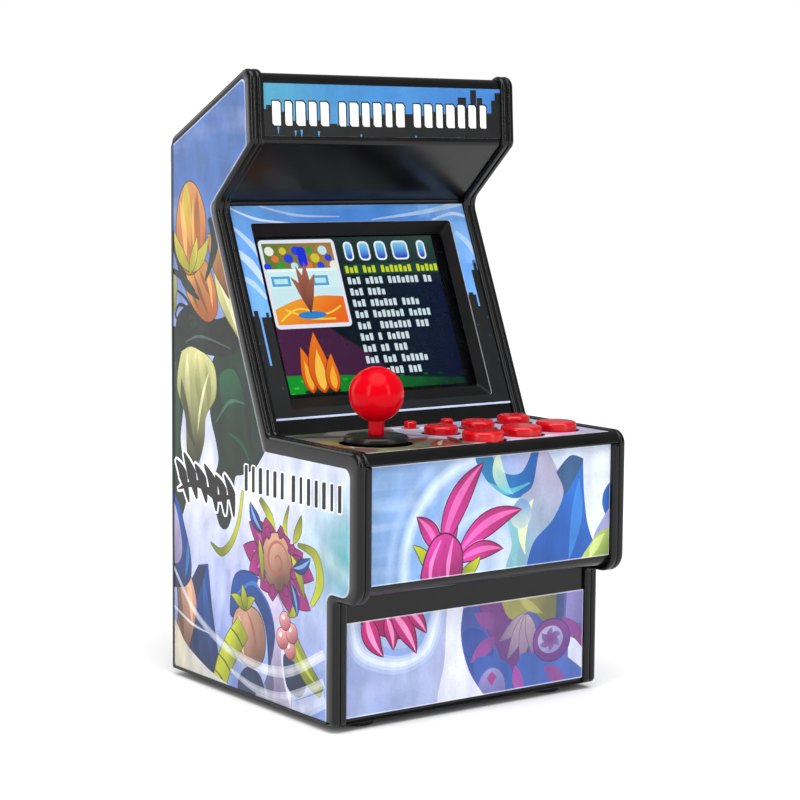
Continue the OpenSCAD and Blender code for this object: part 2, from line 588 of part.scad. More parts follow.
left_side_panel();
right_side_panel();
base_front();
control_box();
control_deck();
screen_frame();
marquee_hood();
rear_cover();
base_plate();
screen_bezel();
screen_lens();
lcd_panel();
lcd_backlight();
main_board();
display_ribbon();
button_board();
button_mat();
joystick_housing();
joystick_yoke();
joystick_shaft();
joystick_disc();
joystick_ball();
joystick_spring();
front_button_1();
front_button_2();
front_button_3();
rear_button_1();
rear_button_2();
rear_button_3();
start_button();
select_button();
side_label_left();
side_label_right();
marquee_label();
screen_label();
deck_label();
control_label();
base_label();
io_board();
switch_body();
switch_knob();
volume_body();
volume_wheel();
av_jack();
usb_socket();
battery_box();
battery_1();
battery_2();
battery_3();
battery_contacts();
battery_door();
speaker_basket();
speaker_cone();
foot_front_left();
foot_front_right();
foot_rear_left();
foot_rear_right();
case_screws();
board_screws();
inner_wires();
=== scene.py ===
"""Looks of a palm-sized arcade cabinet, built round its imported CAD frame.

Sizes are in millimetres in the frame: +Z up, the player stands at -Y, origin under the middle.
Every mesh is made from named sizes that follow the frame's boxes, and every material is a node graph.
"""

import json
import math

import bmesh
import bpy
import numpy as np
from mathutils import Matrix, Vector
from mathutils.geometry import delaunay_2d_cdt

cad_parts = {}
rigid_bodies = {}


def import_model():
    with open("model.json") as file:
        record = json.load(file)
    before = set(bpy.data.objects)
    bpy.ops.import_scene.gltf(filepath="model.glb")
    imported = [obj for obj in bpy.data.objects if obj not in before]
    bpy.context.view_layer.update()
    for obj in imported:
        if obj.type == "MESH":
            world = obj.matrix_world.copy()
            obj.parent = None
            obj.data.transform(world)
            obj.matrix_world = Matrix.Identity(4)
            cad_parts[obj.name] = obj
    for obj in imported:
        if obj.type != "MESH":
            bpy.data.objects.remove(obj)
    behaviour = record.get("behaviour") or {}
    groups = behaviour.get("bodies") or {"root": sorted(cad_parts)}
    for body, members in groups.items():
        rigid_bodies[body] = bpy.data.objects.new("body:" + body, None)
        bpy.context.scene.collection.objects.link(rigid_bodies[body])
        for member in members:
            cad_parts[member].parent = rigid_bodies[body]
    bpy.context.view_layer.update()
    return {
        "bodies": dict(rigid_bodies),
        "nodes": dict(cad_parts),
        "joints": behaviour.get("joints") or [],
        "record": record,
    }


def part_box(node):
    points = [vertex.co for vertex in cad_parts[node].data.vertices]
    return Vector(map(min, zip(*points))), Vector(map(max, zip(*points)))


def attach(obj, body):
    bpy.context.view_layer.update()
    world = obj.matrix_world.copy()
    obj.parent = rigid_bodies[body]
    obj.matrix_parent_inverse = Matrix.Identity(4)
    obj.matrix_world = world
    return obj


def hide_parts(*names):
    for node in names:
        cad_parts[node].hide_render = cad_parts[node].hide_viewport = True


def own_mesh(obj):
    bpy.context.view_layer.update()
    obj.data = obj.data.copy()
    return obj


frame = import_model()
MM = 0.001


# ================================================================ sizes

def box_mm(node):
    """Lowest and highest corner of a CAD node, in millimetres."""
    low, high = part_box(node)
    return np.array(low) / MM, np.array(high) / MM


def unit(v):
    return v / np.linalg.norm(v)


side_low, side_high = box_mm("right_side_panel")
HALF_W = side_high[0]
IN_X = box_mm("base_front")[1][0]
BEAD_X = box_mm("base_label")[1][0]
FRONT_Y, FOOT_H = side_low[1], side_low[2]
BACK_Y = side_high[1]
RIM_Z = FOOT_H + 67.5
SLOPE_ANGLE = math.radians(23)
UNDERCUT_Z = FOOT_H + 124
PAPER = 0.2
ARC_STEPS = 16

# Cabinet profile in (y, z), clockwise from the bottom of the base front, with corner radii.
SLOPE_FOOT = np.array([FRONT_Y + 39.55, RIM_Z])
UNDERCUT = np.array([SLOPE_FOOT[0] + (UNDERCUT_Z - RIM_Z) * math.tan(SLOPE_ANGLE), UNDERCUT_Z])
CORNERS = [np.array(p) for p in (
    (FRONT_Y + 10, FOOT_H), (FRONT_Y + 10, FOOT_H + 30.8), (FRONT_Y, FOOT_H + 30.8), (FRONT_Y, RIM_Z),
    SLOPE_FOOT, UNDERCUT, (FRONT_Y + 46.4, FOOT_H + 139.3), (FRONT_Y + 47.5, FOOT_H + 159.1),
    (BACK_Y, FOOT_H + 140.5), (BACK_Y, FOOT_H))]
COUNT = len(CORNERS)
BASE, UNDER, FRONT, DECK, SLOPE, HOOD, MARQUEE, ROOF, BACK, BOTTOM = range(COUNT)
RADII = [1.5, 1.2, 5, 3.5, 1.5, 4, 2.5, 3, 2.5, 1.5]
MIDDLE_RADII = [1, 1, 3.4, 3, 1, 0.8, 1.5, 2.4, 2, 1]
CONCAVE = (UNDER, SLOPE, HOOD)
# How far each wall's recessed middle, its inner face and its side label stand behind the rim.
SEAT = np.array([1.2, 1.6, 1.6, 0.5, 1.1, 0.9, 1.2, 0.6, 0, 0])
WALL = np.array([2.5, 2.7, 2.7, 2.5, 2.5, 2.4, 2.5, 2.4, 2.2, 2])
LABEL_GAP = np.array([3.5, 1.6, 4.1, 4.1, 3.1, 1.5, 2.9, 2, 0.3, 0.4])
LABEL_RADII = [0.6, 2.5, 3, 2.5, 1.5, 2.5, 1.2, 1.2, 0.8, 0.6]
LABEL_SINK = 0.3
SHEET_X = BEAD_X - 0.03          # half width of the printed sheets between the beads
BASE_LOW, BASE_HIGH = 3.3, 26.7
CONTROL_LOW, CONTROL_HIGH = 37.2, 65.7
MARQUEE_LOW, MARQUEE_HIGH = 1.6, 14.6      # up the wall from its foot
SURROUND_LOW, SURROUND_HIGH = 0.02, 57.2   # up the screen panel
SHEET_CORNER = 0.25
DECK_TOP = RIM_Z - SEAT[DECK]
DECK_INNER = RIM_Z - WALL[DECK]
DECK_FRONT = box_mm("deck_label")[0][1]
DECK_BACK = -3.9
DECK_SEAM = box_mm("control_box")[1][2]
LABEL_TOP = DECK_TOP + PAPER
BUTTON_GAP = 0.6                 # round a cap in the deck, and a little more in the label
LABEL_BUTTON_GAP = 0.9
DISC_HOLE = 9.0
DECK_POSTS = ((-9.5, -31), (35, -22), (-33, -10), (21, -6.5))

# The screen panel: origin at the foot of its printed surround, s up the slope, out away from it.
SLOPE_N = np.array([-math.cos(SLOPE_ANGLE), math.sin(SLOPE_ANGLE)])
SLOPE_UP = np.array([math.sin(SLOPE_ANGLE), math.cos(SLOPE_ANGLE)])
SLOPE_O = SLOPE_FOOT + SLOPE_UP * 3.8 - SLOPE_N * (SEAT[SLOPE] - PAPER)
OPEN_X, OPEN_LOW, OPEN_HIGH = 32.0, 2.8, 52.5
LENS_X, LENS_LOW, LENS_HIGH = OPEN_X - 0.8, OPEN_LOW + 3.8, OPEN_HIGH - 2.3
SCREEN_DEEP = 5.0
LENS_T = 0.8
PANEL_X, PANEL_LOW, PANEL_HIGH, PANEL_T = 34.4, 3.6, 53.4, 1.6


def middle(node):
    """Middle of a CAD node's box in x and y, and half its depth in y."""
    low, high = box_mm(node)
    return (low[0] + high[0]) / 2, (low[1] + high[1]) / 2, (high[1] - low[1]) / 2


STICK_X, STICK_Y = middle("joystick_ball")[:2]
# Buttons: (node, x, y, cap radius), in the order of the CAD nodes.
BUTTONS = [(node, *middle(node)) for node in (
    "front_button_1", "front_button_2", "front_button_3", "rear_button_1", "rear_button_2",
    "rear_button_3", "start_button", "select_button")]


# ================================================================ outlines

def edge_dir(i):
    return unit(CORNERS[(i + 1) % COUNT] - CORNERS[i % COUNT])


def edge_in(i):
    d = edge_dir(i)
    return np.array([d[1], -d[0]])


def cross2(a, b):
    return a[0] * b[1] - a[1] * b[0]


def inset(depth):
    """Corners of the profile with every edge moved inwards by its own depth."""
    moved = []
    for i in range(COUNT):
        a, b = edge_dir(i - 1), edge_dir(i)
        p = CORNERS[i] + edge_in(i - 1) * depth[i - 1]
        q = CORNERS[i] + edge_in(i) * depth[i]
        moved.append(p + a * cross2(q - p, b) / cross2(a, b))
    return moved


def corner_arc(before, corner, after, radius, steps=ARC_STEPS):
    """Points of the arc that rounds a corner between its two neighbours."""
    u, w = unit(before - corner), unit(after - corner)
    half = math.acos(max(-1.0, min(1.0, float(u @ w)))) / 2
    centre = corner + unit(u + w) * radius / math.sin(half)
    start = corner + u * radius / math.tan(half) - centre
    end = corner + w * radius / math.tan(half) - centre
    first = math.atan2(start[1], start[0])
    turn = (math.atan2(end[1], end[0]) - first + 3 * math.pi) % (2 * math.pi) - math.pi
    angles = [first + turn * k / steps for k in range(steps + 1)]
    return [centre + radius * np.array([math.cos(a), math.sin(a)]) for a in angles]


def rounded(points, radii, steps=ARC_STEPS):
    out = []
    for i, radius in enumerate(radii):
        out += corner_arc(points[i - 1], points[i], points[(i + 1) % len(points)], radius, steps)
    return out


def rim_outline(depth):
    """The cabinet's outline moved inwards by a depth for each edge, corners staying parallel."""
    depth = np.broadcast_to(depth, (COUNT,))
    radii = [RADII[i] + depth[i] if i in CONCAVE else max(RADII[i] - depth[i], 0.4) for i in range(COUNT)]
    return rounded(inset(depth), radii)


def label_outline(gap):
    return rounded(inset(gap), LABEL_RADII)


def on_slope(x, s, out=0.0):
    y, z = SLOPE_O + SLOPE_UP * s + SLOPE_N * out
    return (x, y, z)


def poly(*points):
    return [np.array(p, float) for p in points]


def rect(x0, y0, x1, y1, r=0.0, steps=5):
    """A rectangle with rounded corners."""
    corners = poly((x0, y0), (x1, y0), (x1, y1), (x0, y1))
    return rounded(corners, [r] * 4, steps) if r else corners


def disc(x, y, r, squash=1.0, steps=32):
    return [np.array((x + r * math.cos(a), y + squash * r * math.sin(a)))
            for a in (2 * math.pi * k / steps for k in range(steps))]


def quarter(steps):
    """Sine and cosine from 0 to a quarter turn."""
    return [(math.sin(a), math.cos(a)) for a in (math.pi / 2 * k / steps for k in range(steps + 1))]


# ================================================================ mesh helpers

def finish_mesh(mesh, crease=30.0):
    """Outward normals, smooth shading, and sharp edges where faces meet at more than crease degrees."""
    bm = bmesh.new()
    bm.from_mesh(mesh)
    bmesh.ops.recalc_face_normals(bm, faces=bm.faces)
    bm.to_mesh(mesh)
    bm.free()
    mesh.shade_smooth()
    mesh.set_sharp_from_angle(angle=math.radians(crease))
    mesh.update()
    return mesh


def new_mesh(name, verts, faces, crease=30.0):
    mesh = bpy.data.meshes.new(name)
    mesh.from_pydata([tuple(MM * float(c) for c in v) for v in verts], [], faces)
    mesh.validate()
    return finish_mesh(mesh, crease)


def link(obj):
    bpy.context.scene.collection.objects.link(obj)
    return obj


def piece(name, mesh, material, body, slot, stands_for=()):
    """Links a finished mesh as a piece that rides on a body and stands for CAD nodes."""
    obj = link(bpy.data.objects.new(name, mesh))
    mesh.materials.append(material)
    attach(obj, body)
    if stands_for:
        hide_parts(*stands_for)
    return obj


def loft(rings, closed=False):
    """Vertices and faces of a skin over rings of equal length, capped at both ends unless closed."""
    n = len(rings[0])
    verts = [p for ring in rings for p in ring]
    faces = []
    spans = len(rings) if closed else len(rings) - 1
    for r in range(spans):
        a, b = r * n, ((r + 1) % len(rings)) * n
        faces += [(a + k, a + (k + 1) % n, b + (k + 1) % n, b + k) for k in range(n)]
    if not closed:
        faces.append(tuple(range(n))[::-1])
        faces.append(tuple((len(rings) - 1) * n + k for k in range(n)))
    return verts, faces


def prism(outline, *heights):
    """A flat (x, y) outline drawn up between heights."""
    return loft([[(p[0], p[1], z) for p in outline] for z in heights])


def cylinder(x, y, r, z0, z1, steps=64):
    return prism(disc(x, y, r, steps=steps), z0, z1)


def join(*parts):
    """Several (verts, faces) as one."""
    verts, faces = [], []
    for more_verts, more_faces in parts:
        base = len(verts)
        verts += list(more_verts)
        faces += [tuple(base + k for k in f) for f in more_faces]
    return verts, faces


def lathe(outline, steps=64, centre=(0, 0, 0)):
    """A closed solid turned round Z from (radius, height) points that start and end on the axis."""
    cx, cy, cz = centre
    inner = [p for p in outline if p[0] > 1e-6]
    verts = []
    for k in range(steps):
        a = 2 * math.pi * k / steps
        verts += [(cx + r * math.cos(a), cy + r * math.sin(a), cz + z) for r, z in inner]
    n = len(inner)
    low = len(verts)
    verts += [(cx, cy, cz + outline[0][1]), (cx, cy, cz + outline[-1][1])]
    spans = [(k * n, ((k + 1) % steps) * n) for k in range(steps)]
    faces = [(a + j, b + j, b + j + 1, a + j + 1) for a, b in spans for j in range(n - 1)]
    for a, b in spans:
        faces += [(low, b, a), (low + 1, a + n - 1, b + n - 1)]
    return verts, faces


def fillet(points, radii, steps=6):
    """An open (radius, height) outline with its inner points rounded."""
    pts = poly(*points)
    out = [pts[0]]
    for k in range(1, len(pts) - 1):
        if radii[k] > 0:
            out += corner_arc(pts[k - 1], pts[k], pts[k + 1], radii[k], steps)
        else:
            out.append(pts[k])
    return [tuple(p) for p in out + [pts[-1]]]


def tube(points, radius, sides=10):
    """A round wire along points, with its ends closed."""
    rings = []
    for i, p in enumerate(points):
        d = unit(points[min(i + 1, len(points) - 1)] - points[max(i - 1, 0)])
        across = unit(np.cross(d, np.array((0, 0, 1.0)) if abs(d[2]) < 0.9 else np.array((1.0, 0, 0))))
        up = np.cross(d, across)
        rings.append([tuple(p + radius * (math.cos(a) * across + math.sin(a) * up))
                      for a in np.linspace(0, 2 * math.pi, sides, endpoint=False)])
    return loft(rings)


def cut(mesh, cutter):
    """The mesh with a closed (verts, faces) cutter taken out of it."""
    body = link(bpy.data.objects.new("cut_body", mesh))
    tool = link(bpy.data.objects.new("cut_tool", new_mesh("cut_tool", *cutter)))
    step = body.modifiers.new("cut", "BOOLEAN")
    step.operation = "DIFFERENCE"
    step.solver = "EXACT"
    step.object = tool
    bpy.context.view_layer.update()
    result = bpy.data.meshes.new_from_object(body.evaluated_get(bpy.context.evaluated_depsgraph_get()))
    bpy.data.objects.remove(body)
    bpy.data.objects.remove(tool)
    return finish_mesh(result)


# ================================================================ materials

def rgb(code):
    """A linear colour from a six-digit sRGB code."""
    parts = [int(code[k:k + 2], 16) / 255 for k in (0, 2, 4)]
    return (*[c / 12.92 if c <= 0.04045 else ((c + 0.055) / 1.055) ** 2.4 for c in parts], 1.0)


class Graph:
    """A small helper that builds a material's node graph."""

    def __init__(self, name):
        self.material = bpy.data.materials.new(name)
        self.material.use_nodes = True
        self.tree = self.material.node_tree
        self.tree.nodes.clear()
        output = self.node("OutputMaterial")
        self.shader = self.node("BsdfPrincipled")
        self.link(self.shader.outputs[0], output.inputs["Surface"])
        self.coord = self.node("TexCoord").outputs["Object"]

    def node(self, kind, **inputs):
        """A new shader node; inputs name its sockets, with _ for a space."""
        made = self.tree.nodes.new("ShaderNode" + kind)
        for name, value in inputs.items():
            self.feed(value, made.inputs[name.replace("_", " ")])
        return made

    def link(self, source, target):
        self.tree.links.new(source, target)

    def feed(self, value, socket):
        if isinstance(value, bpy.types.NodeSocket):
            self.link(value, socket)
        else:
            socket.default_value = value

    def set(self, **values):
        for name, value in values.items():
            socket = name.replace("_", " ").title().replace("Ior", "IOR")
            self.feed(value, self.shader.inputs[socket])

    def math(self, operation, a, b=0.0):
        made = self.node("Math")
        made.operation = operation
        self.feed(a, made.inputs[0])
        self.feed(b, made.inputs[1])
        return made.outputs[0]

    def mapping(self, vector, scale, rotation=(0, 0, 0)):
        turned = [math.radians(a) for a in rotation]
        return self.node("Mapping", Vector=vector, Scale=scale, Rotation=turned).outputs[0]

    def noise(self, scale, detail=4.0, rough=0.5, stretch=None):
        """Noise with scale in features per millimetre, from 0 to 1."""
        vector = self.mapping(self.coord, stretch) if stretch else self.coord
        made = self.node("TexNoise", Vector=vector, Scale=scale / MM, Detail=detail, Roughness=rough)
        return made.outputs["Fac"]

    def remap(self, value, low, high, to_low=0.0, to_high=1.0):
        return self.node("MapRange", Value=value, From_Min=low, From_Max=high, To_Min=to_low,
                         To_Max=to_high).outputs[0]

    def mix(self, factor, a, b):
        made = self.node("Mix")
        made.data_type = "RGBA"
        for value, k in ((factor, 0), (a, 6), (b, 7)):
            self.feed(value, made.inputs[k])
        return made.outputs[2]

    def brighten(self, value, colour):
        return self.node("HueSaturation", Value=value, Color=colour).outputs[0]

    def bump(self, height, strength, distance):
        made = self.node("Bump", Strength=strength, Distance=distance * MM, Height=height)
        self.link(made.outputs[0], self.shader.inputs["Normal"])


def moulded(name, low, high, rough, grain, bump=0.02, specular=0.5):
    """Moulded plastic: two close tones, a fine grain, and a soft large-scale change in gloss."""
    g = Graph(name)
    tone = g.noise(0.12, 3)
    grit = g.noise(grain, 2)
    g.set(base_color=g.mix(tone, rgb(low), rgb(high)), specular_ior_level=specular)
    g.set(roughness=g.remap(g.math("ADD", tone, grit), 0.6, 1.4, rough - 0.05, rough + 0.05))
    g.bump(grit, 0.35, bump)
    return g.material


CASE = moulded("case_plastic", "040405", "09090a", 0.21, 5.0, specular=0.32)
BEZEL = moulded("bezel_plastic", "070708", "0d0d0e", 0.44, 6.0, 0.03, 0.22)
RED = moulded("red_plastic", "be000d", "ca0213", 0.2, 3.0, 0.006, 0.4)
GLOSS = moulded("gloss_black_plastic", "050505", "0a0a0b", 0.33, 4.0, 0.008, 0.36)
INNER = moulded("inner_plastic", "141415", "1d1d1f", 0.5, 5.0)


# ================================================================ case

def side_panel(name, side, stands_for):
    """A side panel with a rounded bead round its edge and a shallow seat for its printed label."""
    inner_r, outer_r, edge, clear = 0.55, 1.0, 0.12, 0.1
    rings = [(IN_X + inner_r * (1 - c), rim_outline(inner_r * (1 - s))) for s, c in quarter(6)]
    rings += [(HALF_W - outer_r * (1 - s), rim_outline(outer_r * (1 - c))) for s, c in quarter(6)]
    for sink, grow in ((0, edge), (edge * 0.4, edge * 0.3), (edge, 0), (LABEL_SINK, 0)):
        rings.append((HALF_W - sink, label_outline(LABEL_GAP - clear - grow)))
    mesh = new_mesh(name, *loft([[(side * x, p[0], p[1]) for p in ring] for x, ring in rings]))
    piece(name, mesh, CASE, "cabinet", "black_case", (stands_for,))


def bead_columns(outer_r=0.62, inner_r=0.8):
    """Columns (x, on the bead, depth behind the rim) across the shell, from its left edge to its right."""
    left = [(-IN_X + outer_r * (1 - c), True, outer_r * (1 - s)) for s, c in quarter(6)]
    left += [(-BEAD_X - inner_r * (1 - s), True, inner_r * (1 - c)) for s, c in quarter(6)]
    left.append((-BEAD_X, False, 0))
    return left + [(-x, bead, depth) for x, bead, depth in left[::-1]]


COLUMNS = bead_columns()
# The whole centre shell: for each column, its closed outline round the cabinet.
SHELL = [(x, rim_outline(np.minimum(depth, SEAT * 0.95)) if bead else rounded(inset(SEAT), MIDDLE_RADII))
         for x, bead, depth in COLUMNS]
SHELL += [(x, rounded(inset(WALL), MIDDLE_RADII)) for x in (IN_X, -IN_X)]
SPAN = ARC_STEPS + 1


def stations(first, last):
    """Loops of the shell at places along its outline."""
    return [[(x, *outline[k % len(outline)]) for x, outline in SHELL] for k in range(first, last)]


def mid_corner(i):
    return i * SPAN + ARC_STEPS // 2


def front_ends(z, pull):
    """A loop of the shell's front wall at height z, with its rim pulled in by pull."""
    loop = [(x, FRONT_Y + (min(depth + pull, SEAT[FRONT]) if bead else SEAT[FRONT]), z)
            for x, bead, depth in COLUMNS]
    return loop + [(x, FRONT_Y + WALL[FRONT], z) for x in (IN_X, -IN_X)]


def shell_piece(node, loops, cutter=None):
    mesh = new_mesh(node + "_shell", *loft(loops))
    if cutter:
        mesh = cut(mesh, cutter)
    piece(node + "_shell", mesh, CASE, "cabinet", "black_case", (node,))


def slope_block(x, s0, s1, out0, out1):
    """A box on the screen panel, from out0 to out1 along its normal."""
    corners = ((-x, s0), (x, s0), (x, s1), (-x, s1))
    return loft([[on_slope(u, s, out) for u, s in corners] for out in (out0, out1)])


def build_shell():
    """Base front, control box, screen frame and marquee hood, cut from one continuous shell."""
    shell_piece("base_front", stations(mid_corner(BASE), mid_corner(UNDER) + 1))
    end_r, top = 0.7, DECK_SEAM - 0.08
    ends = [front_ends(top - end_r + end_r * s, end_r * (1 - c)) for s, c in quarter(5)]
    holes = join(*[cylinder(x, y, r + BUTTON_GAP / 2, DECK_SEAM - 6, DECK_SEAM + 2)
                   for node, x, y, r in BUTTONS if node.startswith("front")])
    shell_piece("control_box", stations(mid_corner(UNDER), DECK * SPAN) + ends, holes)
    window = slope_block(OPEN_X + 1.2, OPEN_LOW - 1.2, OPEN_HIGH + 1.2, -10, 5)
    shell_piece("screen_frame", stations(mid_corner(SLOPE), mid_corner(HOOD) + 1), window)
    shell_piece("marquee_hood", stations(mid_corner(HOOD), mid_corner(BACK) + 1))


def build_deck():
    """The control deck: a full-width rolled front band, a recessed top, and holes for the controls."""
    radius, seam = RADII[DECK], DECK_SEAM + 0.06
    cy, cz = FRONT_Y + radius, RIM_Z - radius
    inner_y = FRONT_Y + WALL[FRONT]
    start = math.asin((seam - cz) / radius)
    step = math.acos((cy - DECK_FRONT) / radius)
    lip, lip_steps, band_steps, end_columns = 0.35, 4, 12, 7
    swings = []
    for s, c in quarter(lip_steps - 1):
        swings.append((start + 0.1 * (1 - c), lip * (1 - s)))
    swings += [(start + (step - start) * k / band_steps, 0.0) for k in range(1, band_steps + 1)]
    loops = []
    for k, (angle, pull) in enumerate(swings):
        loop = []
        for i, (x, bead, depth) in enumerate(COLUMNS):
            at_end = i < end_columns or i >= len(COLUMNS) - end_columns
            r = radius - (depth if at_end else 0.0) - pull
            loop.append((x, cy - r * math.cos(angle), max(cz + r * math.sin(angle), seam)))
        z = seam + (DECK_INNER - seam) * (k + 1) / (len(swings) + 1) * (k > 0)
        loops.append(loop + [(x, inner_y, z) for x in (IN_X, -IN_X)])
    roll, gap = 4, 0.02
    for k in range(roll + 1):
        angle = step + (math.pi / 2 - step) * k / roll
        y = cy - radius * math.cos(angle)
        loop = []
        for x, bead, depth in COLUMNS:
            r = radius - min(depth, SEAT[DECK] * 0.95)
            loop.append((x, cy - r * math.cos(angle), cz + r * math.sin(angle)) if bead else (x, y, DECK_TOP))
        back = inner_y + gap + max(0.0, y - inner_y) + gap * k
        loops.append(loop + [(x, back, DECK_INNER) for x in (IN_X, -IN_X)])
    loops += stations(SLOPE * SPAN, mid_corner(SLOPE) + 1)
    holes = [cylinder(x, y, r + BUTTON_GAP, DECK_SEAM - 3, RIM_Z + 3, 96) for node, x, y, r in BUTTONS]
    holes.append(cylinder(STICK_X, STICK_Y, DISC_HOLE, DECK_SEAM - 3, RIM_Z + 3, 128))
    shell_piece("control_deck", loops, join(*holes))


def build_bezel():
    """The recessed screen surround: four sloping walls down to the window, closed behind."""
    lens_depth, front, back = SCREEN_DEEP - LENS_T, PAPER + 0.01, SCREEN_DEEP - 0.02
    around, pocket = 1.18, 1.42
    opening, lens = (OPEN_X, OPEN_LOW, OPEN_HIGH), (LENS_X, LENS_LOW, LENS_HIGH)
    rings = []
    for (x, low, high), across, below, above, radius, depth in (
            (opening, 0, 0, 0, 0.8, front), (opening, -0.1, -0.12, -0.1, 0.8, front + 0.12),
            (lens, 0.1, 0.2, 0.12, 1.0, lens_depth - 0.3), (lens, 0, 0, 0, 1.0, lens_depth - 0.18),
            (lens, 0, 0, 0, 1.0, lens_depth - 0.02), (lens, pocket, pocket, pocket, 0.3, lens_depth - 0.02),
            (lens, pocket, pocket, pocket, 0.3, back), (opening, around, around, around, 0.5, back),
            (opening, around, around, around, 0.5, front)):
        outline = rect(-x - across, low - below, x + across, high + above, radius, 6)
        rings.append([on_slope(p[0], p[1], -depth) for p in outline])
    mesh = new_mesh("screen_surround", *loft(rings, closed=True))
    piece("screen_surround", mesh, BEZEL, "cabinet", "black_bezel", ("screen_bezel",))


# ================================================================ printed sheets

INK_DEPTH = 1.35     # printed inks dry a little deeper than their swatches


def spline(points, closed, steps=8):
    """A smooth Catmull-Rom line through points; a point given twice in a row makes a corner."""
    pts = poly(*points)
    n = len(pts)
    out = []
    for i in range(n if closed else n - 1):
        if closed:
            p0, p1, p2, p3 = (pts[(i + k) % n] for k in (-1, 0, 1, 2))
        else:
            p0, p1, p2, p3 = pts[max(i - 1, 0)], pts[i], pts[i + 1], pts[min(i + 2, n - 1)]
        if np.allclose(p1, p2):
            continue
        for k in range(steps):
            t = k / steps
            out.append(0.5 * (2 * p1 + (p2 - p0) * t + (2 * p0 - 5 * p1 + 4 * p2 - p3) * t * t
                              + (3 * p1 - p0 - 3 * p2 + p3) * t ** 3))
    return out if closed else out + [pts[-1]]


def blob(*points):
    """A smooth closed shape."""
    return spline(points, True)


def band(line, half, skip=0):
    """The two sides of a line, half its width apart, as one closed shape."""
    left, right = [], []
    for i, (p, h) in enumerate(zip(line, half)):
        d = unit(line[min(i + 1, len(line) - 1)] - line[max(i - 1, 0)])
        across = np.array([-d[1], d[0]])
        left.append(p + across * h)
        right.append(p - across * h)
    return left + right[skip:len(right) - skip][::-1]


def ribbon(points, widths):
    """A band along a smooth line, its width changing from point to point."""
    line = spline(points, False)
    stops = np.linspace(0, 1, len(widths))
    return band(line, np.interp(np.linspace(0, 1, len(line)), stops, widths) / 2)


def leaf(start, end, width, bend=0.0, tip=0.9, steps=14):
    """A petal from start to end, its middle bent sideways by bend."""
    a, b = poly(start, end)
    across = unit(np.array([-(b - a)[1], (b - a)[0]]))
    mid = (a + b) / 2 + across * bend * 2
    ts = np.linspace(0, 1, steps + 1)
    line = [(1 - t) ** 2 * a + 2 * t * (1 - t) * mid + t * t * b for t in ts]
    return band(line, [width / 2 * math.sin(math.pi * t ** tip) for t in ts], 1)


def anticlockwise(shape):
    """The shape's points, turned round if they run clockwise."""
    pts = poly(*shape)
    area = sum(cross2(pts[i - 1], pts[i]) for i in range(len(pts)))
    return pts if area > 0 else pts[::-1]


def grown(shape, amount):
    """A closed shape moved outwards by an amount."""
    pts = anticlockwise(shape)
    out = []
    for i, p in enumerate(pts):
        before, after = p - pts[i - 1], pts[(i + 1) % len(pts)] - p
        a = before / max(np.linalg.norm(before), 1e-9)
        b = after / max(np.linalg.norm(after), 1e-9)
        normal = np.array([(a + b)[1], -(a + b)[0]])
        out.append(p + normal / max(np.linalg.norm(normal), 0.7) * amount)
    return out


class Ink:
    """One colour, or a blend of two along a line, whose strength may change to fade along it."""

    def __init__(self, first, strength=1.0, second=None, line=None, fade=None):
        self.first = np.array(rgb(first)[:3])
        self.second = np.array(rgb(second or first)[:3])
        self.line = line and poly(*line)
        self.strength = strength
        self.fade = strength if fade is None else fade

    def at(self, p):
        """Colour and strength at a point."""
        t = 0.0
        if self.line:
            a, b = self.line
            t = float(np.clip((p - a) @ (b - a) / ((b - a) @ (b - a)), 0, 1))
        return self.first + (self.second - self.first) * t, self.strength + (self.fade - self.strength) * t


class Art:
    """Shapes printed one over another. A shape may be kept inside an earlier one."""

    def __init__(self, depth=INK_DEPTH):
        self.layers = []
        self.depth = depth

    def add(self, shape, first, strength=1.0, second=None, line=None, fade=None, inside=None, edge=None):
        """Adds a shape and returns its index. edge is (colour, width) of a line round it."""
        if edge:
            self.layers.append((grown(shape, edge[1]), Ink(edge[0], strength), inside))
        if line is None:
            line = shape[0], shape[len(shape) // 2]     # a leaf's two ends
        self.layers.append((shape, Ink(first, strength, second, line, fade), inside))
        return len(self.layers) - 1

    def within(self, inside, *rows):
        """Shapes kept inside an earlier one, from rows of (shape, first, strength, second, line, fade)."""
        for row in rows:
            self.add(*row, inside=inside)

    def colour(self, p, covered):
        """Red, green, blue and cover at a point, for the set of shapes that cover its triangle."""
        tint, cover = np.zeros(3), 0.0
        for k in covered:
            inside = self.layers[k][2]
            if inside is not None and inside not in covered:
                continue
            ink, strength = self.layers[k][1].at(p)
            whole = strength + (1 - strength) * cover
            if whole > 1e-6:
                tint = (strength * ink + (1 - strength) * cover * tint) / whole
            cover = whole
        return (*(tint ** self.depth), cover)


def cut_to_art(outline, holes, art):
    """Triangles of the sheet inside its outline, their corners, and the art shapes that cover each."""
    shapes = [anticlockwise(s) for s in [outline] + holes + [layer[0] for layer in art.layers]]
    points, loops = [], []
    for shape in shapes:
        loops.append(list(range(len(points), len(points) + len(shape))))
        points += [Vector((float(p[0]), float(p[1]))) for p in shape]
    flat, _, triangles, _, _, origins = delaunay_2d_cdt(points, [], loops, 1, 1e-4)
    first_art = 1 + len(holes)
    kept, cover = [], []
    for triangle, origin in zip(triangles, origins):
        if 0 in origin and not any(0 < k < first_art for k in origin):
            kept.append(triangle)
            cover.append(sorted({k - first_art for k in origin if k >= first_art}))
    used = sorted({k for t in kept for k in t})
    number = {k: i for i, k in enumerate(used)}
    return [tuple(number[k] for k in t) for t in kept], [np.array(flat[k]) for k in used], cover


